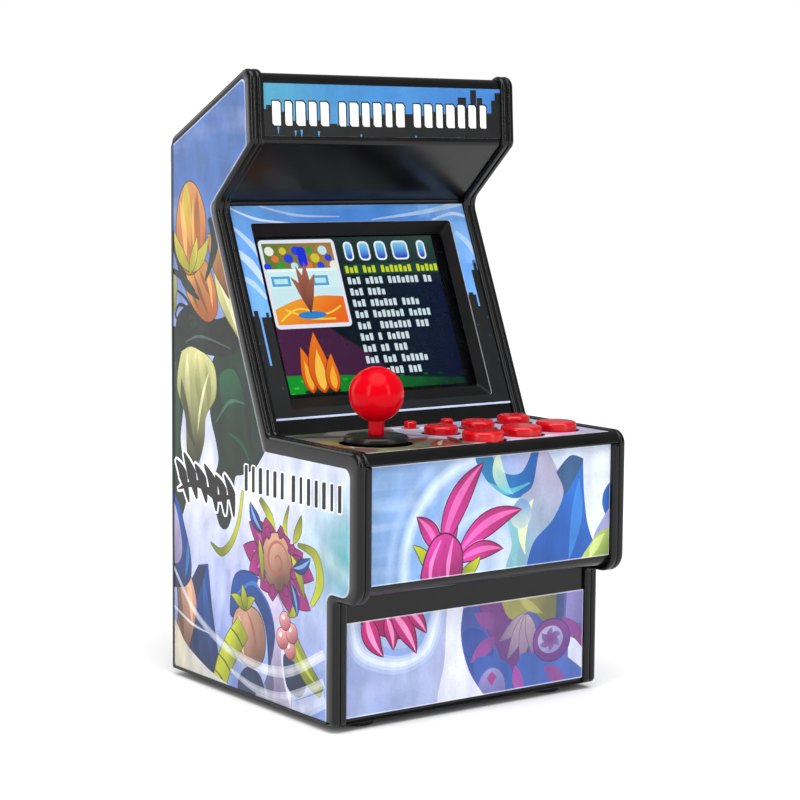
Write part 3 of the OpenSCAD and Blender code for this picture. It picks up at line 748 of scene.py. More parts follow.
def print_sheet(name, outline, holes, art, place, thickness, material, slot, stands_for):
    """A thin flat plate whose face carries the art as a colour attribute and its own millimetres as UVs."""
    face_up, flat, cover = cut_to_art(outline, holes, art)
    n = len(flat)
    verts = [place(p[0], p[1], 0.0) for p in flat] + [place(p[0], p[1], -thickness) for p in flat]
    rim = dict.fromkeys(e for a, b, c in face_up for e in ((a, b), (b, c), (c, a)))
    walls = [(b, a, a + n, b + n) for a, b in rim if (b, a) not in rim]
    faces = face_up + [(c + n, b + n, a + n) for a, b, c in face_up] + walls
    mesh = bpy.data.meshes.new(name)
    mesh.from_pydata([tuple(MM * float(c) for c in v) for v in verts], [], faces)
    ink = mesh.color_attributes.new("ink", "FLOAT_COLOR", "CORNER")
    uv = mesh.uv_layers.new(name="sheet")
    paper_edge = (0.8, 0.8, 0.82, 1)
    colours, places = [], []
    for k, face in enumerate(faces):
        for corner in face:
            p = flat[corner % n]
            places.append(p)
            colours.append(art.colour(p, cover[k]) if k < len(face_up) else paper_edge)
    ink.data.foreach_set("color", np.array(colours, np.float32).ravel())
    uv.data.foreach_set("uv", np.array(places, np.float32).ravel())
    mesh.set_sharp_from_angle(angle=math.radians(30))
    a, b, c = (Vector(verts[k]) for k in face_up[0])
    out = Vector(place(*flat[face_up[0][0]], 1.0)) - a
    if (b - a).cross(c - a).dot(out) < 0:
        mesh.flip_normals()
    piece(name, mesh, material, "cabinet", slot, (stands_for,))


class Sheet(Graph):
    """A print material: a background drawn by nodes in sheet millimetres, the art over it, paper gloss."""

    def __init__(self, name):
        super().__init__(name)
        uv = self.node("UVMap")
        uv.uv_map = "sheet"
        self.sheet = uv.outputs[0]
        self.u, self.v = self.node("SeparateXYZ", Vector=self.sheet).outputs[:2]

    def ramp(self, value, *stops):
        """Colour of a value from (value, colour) stops."""
        low, high = stops[0][0], stops[-1][0]
        made = self.node("ValToRGB", Fac=self.remap(value, low, high))
        elements = made.color_ramp.elements
        for k, (at, code) in enumerate(stops):
            element = elements[k] if k < 2 else elements.new((at - low) / (high - low))
            element.position = (at - low) / (high - low)
        for element, (at, code) in zip(sorted(elements, key=lambda e: e.position), stops):
            element.color = rgb(code)
        return made.outputs[0]

    def arc(self, u, v, radius, width, strength):
        """A soft ring of light, brightest at radius from (u, v)."""
        made = self.node("VectorMath")
        made.operation = "DISTANCE"
        self.link(self.sheet, made.inputs[0])
        made.inputs[1].default_value = (u, v, 0)
        off = self.math("ABSOLUTE", self.math("SUBTRACT", made.outputs["Value"], radius))
        return self.remap(off, 0, width, strength, 0)

    def soft_noise(self, scale, stretch=(1, 1, 1), turn=0, detail=3):
        """Noise in sheet millimetres, stretched along a turned direction."""
        vector = self.mapping(self.sheet, stretch, (0, 0, turn))
        return self.node("TexNoise", Vector=vector, Scale=scale, Detail=detail).outputs["Fac"]

    def clouded(self, base, scale, stretch, turn, low, high, strength, colour, detail=2):
        """The base colour with another drifting over it in patches."""
        cloud = self.remap(self.soft_noise(scale, stretch, turn, detail), low, high, 0, strength)
        return self.mix(cloud, base, rgb(colour))

    def inked(self, background):
        """The art over a background."""
        made = self.node("VertexColor")
        made.layer_name = "ink"
        return self.mix(made.outputs["Alpha"], background, made.outputs["Color"])


def printed_sheet(name, background, shade=0.1, rough=0.36):
    """Laminated print: brushed shade and dots in the ink, waves in the gloss."""
    sheet = Sheet(name)
    colour = sheet.inked(background(sheet))
    dots = sheet.remap(sheet.soft_noise(1.4, detail=5), 0.3, 0.7, 0.96, 1.04)
    brush = sheet.remap(sheet.soft_noise(0.16, (1, 0.45, 1), 35, 4), 0.3, 0.7, 1 - shade, 1 + shade)
    wave = sheet.soft_noise(0.22, detail=2)
    sheet.set(base_color=sheet.brighten(sheet.math("MULTIPLY", dots, brush), colour), specular_ior_level=0.35)
    sheet.set(roughness=sheet.remap(wave, 0.3, 0.7, rough - 0.05, rough + 0.05))
    sheet.bump(wave, 0.25, 0.05)
    return sheet.material


def glow_sheet(name, background):
    """A backlit picture: the art as light, under fine cell lines."""
    sheet = Sheet(name)
    colour = sheet.inked(background(sheet))
    wave = sheet.node("TexWave", Vector=sheet.sheet, Scale=1.4)
    cell = sheet.remap(wave.outputs["Fac"], 0.0, 1.0, 0.93, 1.0)
    sheet.set(emission_color=sheet.brighten(cell, colour), emission_strength=1.0, specular_ior_level=0.1)
    sheet.set(base_color=sheet.mix(0.97, colour, rgb("020304")))
    sheet.set(roughness=sheet.remap(sheet.soft_noise(0.3), 0.3, 0.7, 0.2, 0.3))
    return sheet.material


# ================================================================ artwork

CHARCOAL, DEEP_GREEN, GREEN = "34393a", "2f4a3e", "3f7d5c"
CREAM, OLIVE = "cfce9a", "8f9060"
TAN, BROWN, YELLOW = "cc9c64", "7d543a", "d2c862"
MAGENTA, PLUM, ROSE = "b23d93", "5f2a55", "d773bf"
LIME, MOSS = "c6cc3e", "7f8736"
NAVY, ROYAL, SLATE = "33466c", "2f62aa", "4f8fcb"
PEACH, CLAY, LILAC = "cfa896", "85685e", "d6cee6"
WHITE = "f4f4f8"


def bars(art, start, pitch, groups, low, high, ink, edge, weight=1.0):
    """Groups of plain upright bars with clipped corners, in place of a printed title."""
    placed = []
    u = start
    for count in groups:
        for _ in range(count):
            half = pitch * weight * (0.34, 0.28, 0.37, 0.31)[len(placed) % 4]
            clip = half * 0.45
            placed.append(poly((u - half, low + clip), (u - half + clip, low), (u + half, low),
                    (u + half, high - clip), (u + half - clip, high), (u - half, high)))
            u += pitch
        u += pitch * 0.5
    for bar in placed:
        art.add(grown(bar, edge[1]), edge[0])
    for bar in placed:
        art.add(bar, ink)


def upper_side_art(art):
    """Leaves, stems and dark rounded stones over the upper half of the side sheet."""
    art.add(blob((43, 92), (38, 86), (37, 74), (38.5, 63), (35, 53), (37, 45), (43, 38), (46, 60)),
        "2c4034", 1, DEEP_GREEN, ((38, 90), (42, 45)))
    art.add(ribbon([(41, 84), (40, 70), (41, 55)], [0.5, 2.6, 0.4]), GREEN, 0.55, None,
        ((41, 84), (41, 55)), 0.2)
    green = art.add(blob((22, 86), (12, 90), (4, 90), (-4, 72), (1, 62), (8, 58.5), (12, 57), (12.6, 50),
            (15.5, 43.8), (19.5, 44.5), (22, 53), (19.5, 60), (20.5, 65), (23.5, 73)), DEEP_GREEN, 1,
        "34453e", ((10, 86), (18, 45)), edge=("2a322f", 0.35))
    art.within(green,
        (blob((19, 82), (12, 84), (7, 76), (10, 70), (17, 73)), GREEN, 0.85, DEEP_GREEN,
            ((15, 83), (10, 70)), 0.1),
        (ribbon([(21, 70), (14, 76), (6, 76)], [0.3, 1.0, 0.2]), "6aa184", 0.5),
        (ribbon([(15, 68), (9, 66), (5, 62)], [0.3, 1.4, 0.3]), GREEN, 0.5),
        (leaf((6, 84), (4, 64), 3, 0.8), "27332e", 0.6))
    stem = art.add(blob((39, 84), (36, 88.5), (29, 88), (22, 84.5), (21, 77), (26, 71), (27, 64), (31, 57),
            (35, 60), (36, 70), (40, 77)), CREAM, 1, "55593f", ((33, 86), (31, 60)), edge=(MOSS, 0.25))
    art.within(stem,
        (leaf((35, 87), (33, 70), 2.4, 1), "e4e3bb", 0.8, None, None, 0.1),
        (leaf((30, 87), (27, 70), 2.6, 1), OLIVE, 0.2, None, None, 0.8),
        (leaf((26, 85), (25, 72), 2.6, -1), OLIVE, 0.3, None, None, 0.9),
        (leaf((24, 83), (30, 66), 1.2, 1), "efeecb", 0.7),
        (leaf((38, 80), (31, 62), 3.4, 1.5), "4d5340", 0.75))
    band = art.add(blob((39, 97), (31, 100), (22, 96.5), (12, 98), (8, 93), (13, 88), (24, 87), (33, 88.5),
            (39, 87), (41, 92)), CHARCOAL, 1, "2b3432", ((30, 99), (28, 87)))
    art.within(band,
        (blob((34, 97), (26, 96), (24, 91), (31, 90)), "355c4a", 0.75, None, ((32, 97), (27, 90)), 0.1),
        (ribbon([(36, 89.5), (28, 91.5), (14, 89.5)], [0.2, 0.8, 0.2]), "7c8c86", 0.6))
    for points in ([(29, 95), (34, 98), (39, 99), (41, 96), (37, 94.5), (30, 96)],
            [(29, 94), (34, 92.5), (40, 93.5), (41, 91), (36, 90)], [(31, 97), (36, 101), (41, 103)]):
        art.add(ribbon(points, [0.9, 1.0, 0.8, 0.5]), CHARCOAL)
    art.add(leaf((22, 110), (9.5, 92), 8.5, -1.5), CREAM, 1, "a5a66c", ((18, 106), (10, 92)),
        edge=(MOSS, 0.25))
    art.add(leaf((20, 107), (11, 94), 2.2, -1), "e9e8c4", 0.7)
    art.add(leaf((44, 112), (41, 97), 7, 1.2), "b9bb86", 1, OLIVE, ((43, 110), (41, 98)), edge=(MOSS, 0.25))
    art.add(leaf((25, 118), (14.5, 102), 7, -1.2), TAN, 1, BROWN, ((22, 116), (15, 103)),
        edge=("4d382c", 0.25))
    husk = art.add(blob((33, 110), (26, 111), (21, 104), (20.5, 98), (25, 95.5), (31, 98), (36, 104)), TAN,
        1, "b5713c", ((31, 108), (22, 98)), edge=("4d382c", 0.25))
    for points in (((32, 108), (24, 97)), ((29, 109), (22, 101)), ((34, 106), (29, 98))):
        art.add(leaf(*points, 1.3, 0.4), BROWN, 0.65, inside=husk)
    art.add(leaf((26, 110), (22.5, 99), 1.6, -0.5), "eebd7e", 0.7, inside=husk)
    for points, widths in (([(43, 117), (39, 112), (36, 105), (29, 101)], [3.4, 4.4, 3, 0.6]),
            ([(24, 122), (21.5, 115), (26, 106)], [1.6, 3.6, 0.6]),
            ([(43, 108), (37, 106), (31, 103)], [1.2, 2.2, 0.4])):
        art.add(ribbon(points, widths), CHARCOAL, 1, "3b5549", (points[0], points[-1]))
    bud = art.add(blob((34, 131), (29.5, 129), (26, 122.5), (26.5, 115), (30, 108.5), (35.5, 107.5),
            (39.5, 113), (40.3, 121), (38, 128)), TAN, 1, "c07a44", ((36, 129), (30, 109)),
        edge=("5a4632", 0.3))
    art.within(bud,
        (leaf((35.5, 131), (33, 114), 4.6, 0.8), YELLOW, 1, "d9a455", ((35, 131), (33, 114))),
        (leaf((30, 129), (28.5, 111), 2.6, 0.6), BROWN, 0.7, None, ((30, 129), (29, 111)), 0.2),
        (leaf((38.5, 126), (35.5, 110), 2.4, -0.6), "f0c487", 0.75),
        (leaf((32, 127), (31.5, 112), 1.1, 0.3), "efc27e", 0.8))
    for start, end, width, bend in (((35, 108), (24.5, 117), 4, 1.4), ((33, 108), (41.5, 118), 3.6, -1.4),
            ((34, 107), (30, 117), 3, 0.4)):
        art.add(leaf(start, end, width, bend), YELLOW, 1, "9c9a3e", (end, start), edge=("5a5a30", 0.22))


def title_marks(art):
    """A tuft of brush strokes and a row of slim bars in black with a white edge, where a title was."""
    strokes = [ribbon(points, widths) for points, widths in (
            ([(41, 58), (37.5, 54.5), (34.4, 47.6)], [0.5, 4.2, 0.8]),
            ([(37, 60.4), (33, 55), (30.4, 49)], [0.6, 4.8, 0.8]),
            ([(31.4, 58), (27.6, 54), (25.6, 48.6)], [0.6, 4.4, 0.8]),
            ([(26.8, 58.6), (22.4, 53.6), (20.8, 47)], [0.5, 4.6, 0.6]),
            ([(21.4, 56.4), (17.6, 52.6), (16.4, 46.8)], [0.5, 4.0, 0.6]),
            ([(17, 57), (13.4, 52.4), (12.2, 46.6)], [0.5, 3.6, 0.5]),
            ([(40, 50.4), (30, 53), (20, 50.6), (11.4, 52.6)], [0.4, 2.0, 2.0, 0.3]))]
    for stroke in strokes:
        art.add(grown(stroke, 0.7), WHITE)
    for stroke in strokes:
        art.add(stroke, "252525")
    bars(art, -34.8, 3.3, (7, 6), 54.2, 60.8, "2b2a2c", (WHITE, 0.45), 0.66)


def lower_side_art(art):
    """A pink bloom with lime ribbons, blue sashes and pebbles over the lower half of the side sheet."""
    for k in range(4):
        art.add(rect(4 + 5 * k, 22 - 2 * k, 6.5 + 5 * k, 33 + 2 * (k % 2)), "b3b9e6", 0.5)
    sail = art.add(poly((34, 26), (29.5, 31.5), (25, 32.5), (23.4, 22), (18, 2), (39, 2), (37, 14)), ROYAL,
        1, NAVY, ((27, 30), (26, 5)), edge=("2c3a58", 0.3))
    art.within(sail,
        (poly((34, 26), (29.5, 31.5), (25.5, 32), (30, 23), (35, 15)), NAVY),
        (leaf((27, 29), (22, 6), 3.2, 0.6), SLATE, 0.7, ROYAL, ((27, 29), (23, 8)), 0.2),
        (leaf((32, 20), (29, 3), 2.6, 0.6), "25355a", 0.7))
    root = art.add(ribbon([(39, 30), (35.5, 21), (37.5, 11), (40, 2)], [6.5, 9.5, 7, 6]), PEACH, 1,
        "6d574f", ((34, 27), (40, 6)), edge=("5a453d", 0.3))
    art.within(root,
        (leaf((36, 29), (33, 15), 2.4, -0.6), "ecc3a4", 0.6),
        (leaf((40, 27), (37, 10), 3, 0.8), "5f4d49", 0.6))
    cup = art.add(blob((46, 27), (39, 24.5), (34, 27.5), (34, 34), (37, 41), (40, 47), (46, 50)), NAVY, 1,
        ROYAL, ((44, 27), (35, 40)), edge=("2c3a58", 0.3))
    art.within(cup,
        (blob((46, 32), (40.5, 30.5), (38, 34), (39, 40), (42, 46.5), (46, 48)), "8f89a8", 1, "c4bcd6",
            ((42, 31), (40, 46))),
        (leaf((35, 38), (36.5, 27), 1.6, -0.5), SLATE, 0.8))
    for points, widths in (
            ([(23.5, 38.5), (18.5, 36.8), (13.5, 40), (10, 46), (8, 54)], [0.3, 2.0, 1.7, 1.2, 0.9]),
            ([(0, 53), (-4.5, 49), (-6.5, 43)], [1.2, 2.6, 2.2]),
            ([(-13, 53), (-11.2, 47.5), (-12.5, 42)], [0.3, 1.7, 1.8]),
            ([(-17, 44), (-24.5, 42.5), (-26.6, 36), (-23, 30)], [0.8, 2.4, 3.0, 1.0])):
        art.add(ribbon(points, widths), MOSS, 1, LIME, (points[0], points[-2]), edge=("6d7430", 0.18))
    scarf = art.add(
        ribbon([(13, 21), (9.5, 29.5), (2, 30), (-4.5, 24), (-7, 15), (-6, 5)], [2, 6.4, 6, 6, 6.4, 4]),
        ROYAL, 1, NAVY, ((8, 30), (-7, 8)), edge=("2c3a58", 0.3))
    art.add(ribbon([(11, 27), (3, 31.2), (-5, 26), (-9, 15)], [0.4, 1.2, 1.2, 0.4]), SLATE, 0.85,
        inside=scarf)
    sash = art.add(ribbon([(1, 32), (-6.5, 28), (-10, 20), (-9.5, 10), (-7, 1)], [1.5, 5, 6, 10, 15]),
        LILAC, 1, "8e88a6", ((-5, 28), (-6, 3)), edge=("6f6a88", 0.2))
    art.within(sash,
        (leaf((-11, 22), (-14, 3), 4, 0.5), "f2eef8", 0.6),
        (leaf((-3, 16), (-6, 1), 4.5, 0.5), "5d607f", 0.7))
    fruit = art.add(
        blob((6, 25), (0, 23.6), (-2.4, 18), (-1, 12), (4.6, 9.4), (10.4, 11.6), (13, 17), (11.4, 22.6)),
        PEACH, 1, CLAY, ((9, 21), (0, 12)), edge=("5a453d", 0.3))
    art.within(fruit,
        (leaf((7.6, 24.6), (2.6, 10.2), 1.0, -2.6), "a8705c", 0.75),
        (leaf((9.8, 22), (7.6, 12), 2.6, 0.6), "f6d6bc", 0.8))
    for end, bend in (((13.6, 26.6), 0.8), ((2.4, 27.4), -0.8), ((8.4, 30), 0.3)):
        art.add(leaf((7, 23.4), end, 2.6, bend), MOSS, 1, LIME, edge=("4d5628", 0.2))
    bamboo = art.add(ribbon([(8, 19), (13, 13.5), (17.5, 7), (20, 0)], [6.4, 7, 6.4, 6.2]), LIME, 1, MOSS,
        ((16, 12), (9, 8)), edge=("6d7430", 0.25))
    for k in range(4):
        y, z = 10.5 + 2.6 * k, 15.8 - 4.1 * k
        art.add(ribbon([(y + 4.2, z + 2.4), (y + 0.4, z + 0.6), (y - 3.6, z - 3)], [0.3, 0.7, 0.4]),
            "5f6a2c", 0.85, inside=bamboo)
    art.add(blob((6, 9), (0, 8), (-2, 3), (2, 0), (9, 0), (10, 5)), NAVY, 0.95, "54607f", ((4, 9), (4, 1)),
        edge=("2c3a58", 0.2))
    art.add(blob((-11, 15.5), (-17, 13.5), (-21, 11), (-18, 6.5), (-12.5, 8)), "3a4a70", 1, "2c3a58",
        ((-12, 15), (-18, 7)), edge=("2c3a58", 0.2))
    art.add(ribbon([(-14, 22), (-17, 17), (-22, 12.5), (-27.5, 9.5)], [3, 5.4, 5, 3]), "a5ad58", 1, MOSS,
        ((-15, 20), (-24, 10)), edge=("5f6a2c", 0.25))
    art.add(leaf((-14.5, 20), (-25, 11), 1.4, 0.8), LIME, 0.8)
    for y, z, r in ((-13.6, 17.4, 2.4), (-10.2, 19.6, 2.6), (-14.4, 21.6, 2.5), (-11.4, 24.2, 2.3)):
        berry = art.add(disc(y, z, r), "e3b6b4", 1, "a8616c", ((y + 1, z + 2), (y - 1, z - 2)),
            edge=("6d3f48", 0.22))
        art.add(disc(y + 0.7, z + 0.8, 0.6), "fbe9ea", 0.85, inside=berry)
    art.add(leaf((-12.6, 25.8), (-17.6, 29.4), 2.4, 0.5), MOSS, 1, LIME, ((-12, 25), (-17, 29)),
        edge=("4d5628", 0.2))
    centre = np.array((-7.6, 38.4))
    reach = (15.5, 16, 13.5, 10.5, 9.5, 12.5, 16.5, 19, 15.5, 12.5, 12, 13.5)
    for k, length in enumerate(reach):
        a = math.radians(8 + 30 * k)
        end = centre + length * np.array((math.cos(a), 0.82 * math.sin(a)))
        petal = art.add(leaf(centre, end, 6.4, 0.9 if k % 2 else -0.7, 1.25), MAGENTA, 1, PLUM,
            (end, centre), edge=("4a2246", 0.28))
        art.add(leaf(centre, centre * 0.28 + end * 0.72, 2.0, 0.6 if k % 2 else -0.5, 1.25), ROSE, 0.75,
            inside=petal)
    heart = art.add(disc(centre[0], centre[1], 6.6, 1.08), PEACH, 1, CLAY,
        (centre + (2, 5), centre - (2, 5)), edge=("6d4436", 0.3))
    spiral = [centre + (0.5 + 0.98 * t) * np.array((math.cos(1.9 * t), 1.08 * math.sin(1.9 * t)))
              for t in np.linspace(0, 5.2, 20)]
    art.add(ribbon(spiral, [0.3, 0.9, 1.0, 0.3]), "b06f5c", 0.8, inside=heart)
    for k in range(8):
        a = math.radians(45 * k + 10)
        outwards = np.array((math.cos(a), math.sin(a)))
        start, end = centre + 6.2 * outwards, centre + 9.4 * outwards
        art.add(leaf(start, end, 2.6, 0.5), "8a2f76", 1, MAGENTA, edge=("4a2246", 0.2))
    for start, end, width, bend in (((-15, 44), (-18.5, 51.5), 2.6, 0.5), ((-14, 41), (-20, 31), 2.4, -0.7),
            ((0.5, 43), (-1, 32), 1.8, -0.5)):
        art.add(leaf(start, end, width, bend), LIME, 1, MOSS, edge=("5f6a2c", 0.2))
    for start, end, width, bend in (((-1, 45), (4.6, 51.6), 3.6, -0.8),
            ((-15, 38), (-22.4, 41.4), 3.4, 0.8), ((-14, 34), (-16.8, 26.4), 3.0, -0.6)):
        knot = art.add(leaf(start, end, width, bend), ROYAL, 1, NAVY, (end, start), edge=("25304a", 0.25))
        art.add(leaf(start, end, width * 0.3, bend), "9fb8e6", 0.8, inside=knot)


def side_sweeps(art):
    """Pale translucent sweeps low on the side sheet."""
    art.add(blob((43, 15), (36, 9.5), (25, 5), (12, 1.5), (30, -1), (46, 2)), "dcd5c6", 0.92, "cfd3d8",
        ((40, 9), (14, 3)))
    for points, widths, strength in (([(43, 30), (33, 20), (20, 13.5), (4, 10.5), (-12, 11.5), (-28.5, 19)],
                [0.8, 1.6, 2.2, 2.6, 2.8, 2.4], 0.42),
            ([(43, 19), (33, 15.5), (24, 14.5)], [0.5, 0.9, 0.2], 0.5),
            ([(14, 7), (2, 4.4), (-12, 5.2), (-28.5, 12)], [1.0, 2.2, 2.4, 2.4], 0.4),
            ([(2, 3), (-8, 1.5), (-16, 2.5), (-29, 8)], [1.0, 4.0, 5.0, 4.0], 0.34)):
        art.add(ribbon(points, widths), "eef0f4", strength)
        art.add(ribbon(points, [w * 0.45 for w in widths]), WHITE, strength * 0.5)


def outline_strip(outer, inner):
    """The pieces of a thin strip between two outlines of the same length."""
    n = len(outer)
    half = n // 2
    return [outer[:half + 1] + inner[:half + 1][::-1],
            outer[half:] + [outer[0], inner[0]] + inner[half:][::-1]]


def side_art():
    """The whole print of a side label, with a thin pale line round its edge."""
    art = Art()
    upper_side_art(art)
    lower_side_art(art)
    title_marks(art)
    side_sweeps(art)
    for strip in outline_strip(label_outline(LABEL_GAP), label_outline(LABEL_GAP + 0.35)):
        art.add(strip, "dfe3f2", 0.45)
    return art


def side_background(sheet):
    """Periwinkle sky, lavender middle, aqua under the deck and deeper blue at the foot."""
    height = sheet.ramp(sheet.v, (0, "6f84c0"), (14, "7f92c6"), (28, "a3add4"), (55, "d8dbf0"),
        (80, "a6b0d8"), (104, "6780ba"), (126, "4468a6"), (158, "3e64a4"))
    from_deck = sheet.math("ABSOLUTE", sheet.math("SUBTRACT", sheet.v, 44))
    aqua = sheet.math("MULTIPLY", sheet.remap(sheet.u, -14, -38, 0, 1), sheet.remap(from_deck, 4, 21, 1, 0))
    base = sheet.mix(aqua, height, rgb("4f9ea8"))
    base = sheet.clouded(base, 0.05, (0.35, 2.2, 1), 62, 0.5, 0.75, 0.35, "c3cae6")
    beam = sheet.arc(-60, 110, 74, 3.5, 0.3)
    return sheet.mix(sheet.math("MULTIPLY", beam, sheet.remap(sheet.u, -5, -30, 0, 1)), base, rgb("dff0ee"))


def control_art():
    """Blue and grey sashes and a pink bloom with tall petals."""
    art = Art()
    low, high = 36, 67
    blue = art.add(
        blob((-5, high), (-3.6, 61), (1, 56.8), (6, 54.6), (10.5, 55.5), (13.6, 60), (14.5, high)),
        "3d8fb9", 1, "2e72b6", ((-2, 60), (13, 60)))
    art.within(blue,
        (blob((-0.5, 68), (0.5, 63), (4.5, 60.6), (9, 61.4), (11, 68)), "9fb6de", 1, "b9bfe0",
            ((0, 64), (10, 64))),
        (leaf((1.2, 67), (6, 55.5), 3.6, -2.4), "e3ecc9", 0.9, "a9d7d8", ((1, 67), (6, 56)), 0.6),
        (ribbon([(-2, 59), (4, 56.4), (11, 58)], [0.4, 1.6, 0.4]), "7fd0d6", 0.6))
    reed = art.add(blob((14.5, high), (19, 62), (22, 54.5), (18, 47), (12, 42), (10, low), (3.5, low),
            (5.5, 43), (4.2, 50), (8, 54.6), (12, 57.5)), "b7b4cb", 1, "8fb6c4", ((17, 60), (6, 38)))
    art.within(reed,
        (leaf((9, 55), (7, 37), 4.4, -1.6), "8fc7cb", 0.7),
        (leaf((12.4, 54), (10, 40), 3, -2.2), "e8efc8", 0.85),
        (disc(8.3, 50.5, 3.4, 1.1), "8aa9c8", 1, "c9d6cf", ((8, 53), (8, 47))))
    sail = art.add(blob((19.5, 60), (19.5, 60), (24, 63.8), (28.3, 62.8), (28.3, 62.8), (28.8, 54),
            (30.5, 45), (35, low), (35, low), (10, low), (10, low), (12.5, 43), (18.5, 48), (22, 54.5),
            (19.5, 60)), "3d83cb", 1, "3f6db2", ((27, 60), (20, 38)))
    art.within(sail,
        (blob((19.5, 60), (24, 64), (28.3, 62.9), (25, 57), (21.5, 54)), "4c7196"),
        (leaf((27, 58), (24, 37), 3.6, 0.8), "5b9fe0", 0.65),
        (leaf((20, 49), (16, 37), 4, 0.6), "356fb3", 0.7))
    art.add(blob((38.6, 56), (35.6, 54), (35, 50.5), (36.4, 47.5), (38.6, 47)), "3c74b4")
    art.add(blob((38.6, 50), (34.2, 45.5), (32, 41.5), (34, 40), (38.6, 42)), "a7a9d0", 1, "c3bfda",
        ((34, 44), (37, 41)))
    lime = art.add(blob((28.2, low), (31.5, 41), (34.6, 43.6), (38.6, 43.4), (38.6, low)), "bfcf84", 1,
        "93a564", ((32, 42), (37, 37)))
    art.add(leaf((31, 37), (36, 43), 2.6, 0.6), "dde9a6", 0.7, inside=lime)
    for start, end, width, bend in (((-17, 42), (-23.6, 52.5), 4.4, -1.2),
            ((-13, 42), (-12.6, 57), 4.6, 1.0), ((-16, 42), (-3.6, 64.2), 6.0, 2.4),
            ((-12, 41), (8.4, 51.6), 5.6, 2.6), ((-12, 40), (2.6, 42.4), 4.2, 1.4)):
        art.add(leaf(start, end, width + 1.0, bend, 1.1), WHITE, 0.45)
        petal = art.add(leaf(start, end, width, bend, 1.1), "e052b4", 1, "a2336f", edge=("7c2a64", 0.35))
        art.add(leaf(start, end, width * 0.36, bend * 1.1, 1.1), "f08fd2", 0.65, inside=petal)
    for start, end, width, bend in (((-19, 37), (-24.8, 45.8), 3.0, -1.2),
            ((-11, 37), (-4.4, 41.2), 2.8, -0.8)):
        art.add(leaf(start, end, width, bend), LIME, 1, MOSS, (end, start), edge=("5f6a2c", 0.25))
    bulb = art.add(
        blob((-21.3, low), (-21.4, 41), (-18.6, 46.4), (-14.6, 47.6), (-11, 45), (-10, 41), (-11.6, low)),
        "d94fae", 1, "9a2f72", ((-18, 46), (-13, 37)), edge=("6d2458", 0.45))
    for shift, colour in ((0.0, "f0a6da"), (2.7, "c23f98"), (5.2, "f0a6da")):
        art.add(ribbon([(-19.6 + shift, 36), (-19.2 + shift, 41), (-16.4 + shift * 0.7, 46.4)],
                [0.6, 1.3, 0.3]), colour, 0.7, inside=bulb)
    frame_border(art, BEAD_X, CONTROL_LOW, CONTROL_HIGH, 0.25, "f2f4fa", 0.5)
    return art


def frame_border(art, x, low, high, width, colour, strength):
    """A thin pale edge just inside a rectangular sheet."""
    for shape in (rect(-x, low, x, low + width), rect(-x, high - width, x, high),
            rect(-x, low, -x + width, high), rect(x - width, low, x, high)):
        art.add(shape, colour, strength)


def control_background(sheet):
    """Light blue to lavender white, with soft bright rings round the bloom."""
    base = sheet.ramp(sheet.u, (-38, "7399c8"), (-22, "7f9fcf"), (-6, "a5badb"), (12, "c2cde2"),
        (38, "d8dfee"))
    base = sheet.clouded(base, 0.08, (0.25, 3.0, 1), 2, 0.5, 0.7, 0.5, "a6bfe0")
    for radius, width, strength, colour in ((21.5, 2.6, 0.75, "6f9bd2"), (25.4, 2.2, 0.85, "cfe2f2"),
            (29.5, 1.8, 0.4, "a8c4e4"), (9.5, 1.8, 0.6, "74a6d2"), (12.5, 1.4, 0.5, "c2dcee")):
        base = sheet.mix(sheet.arc(-2, 40, radius, width, strength), base, rgb(colour))
    return base


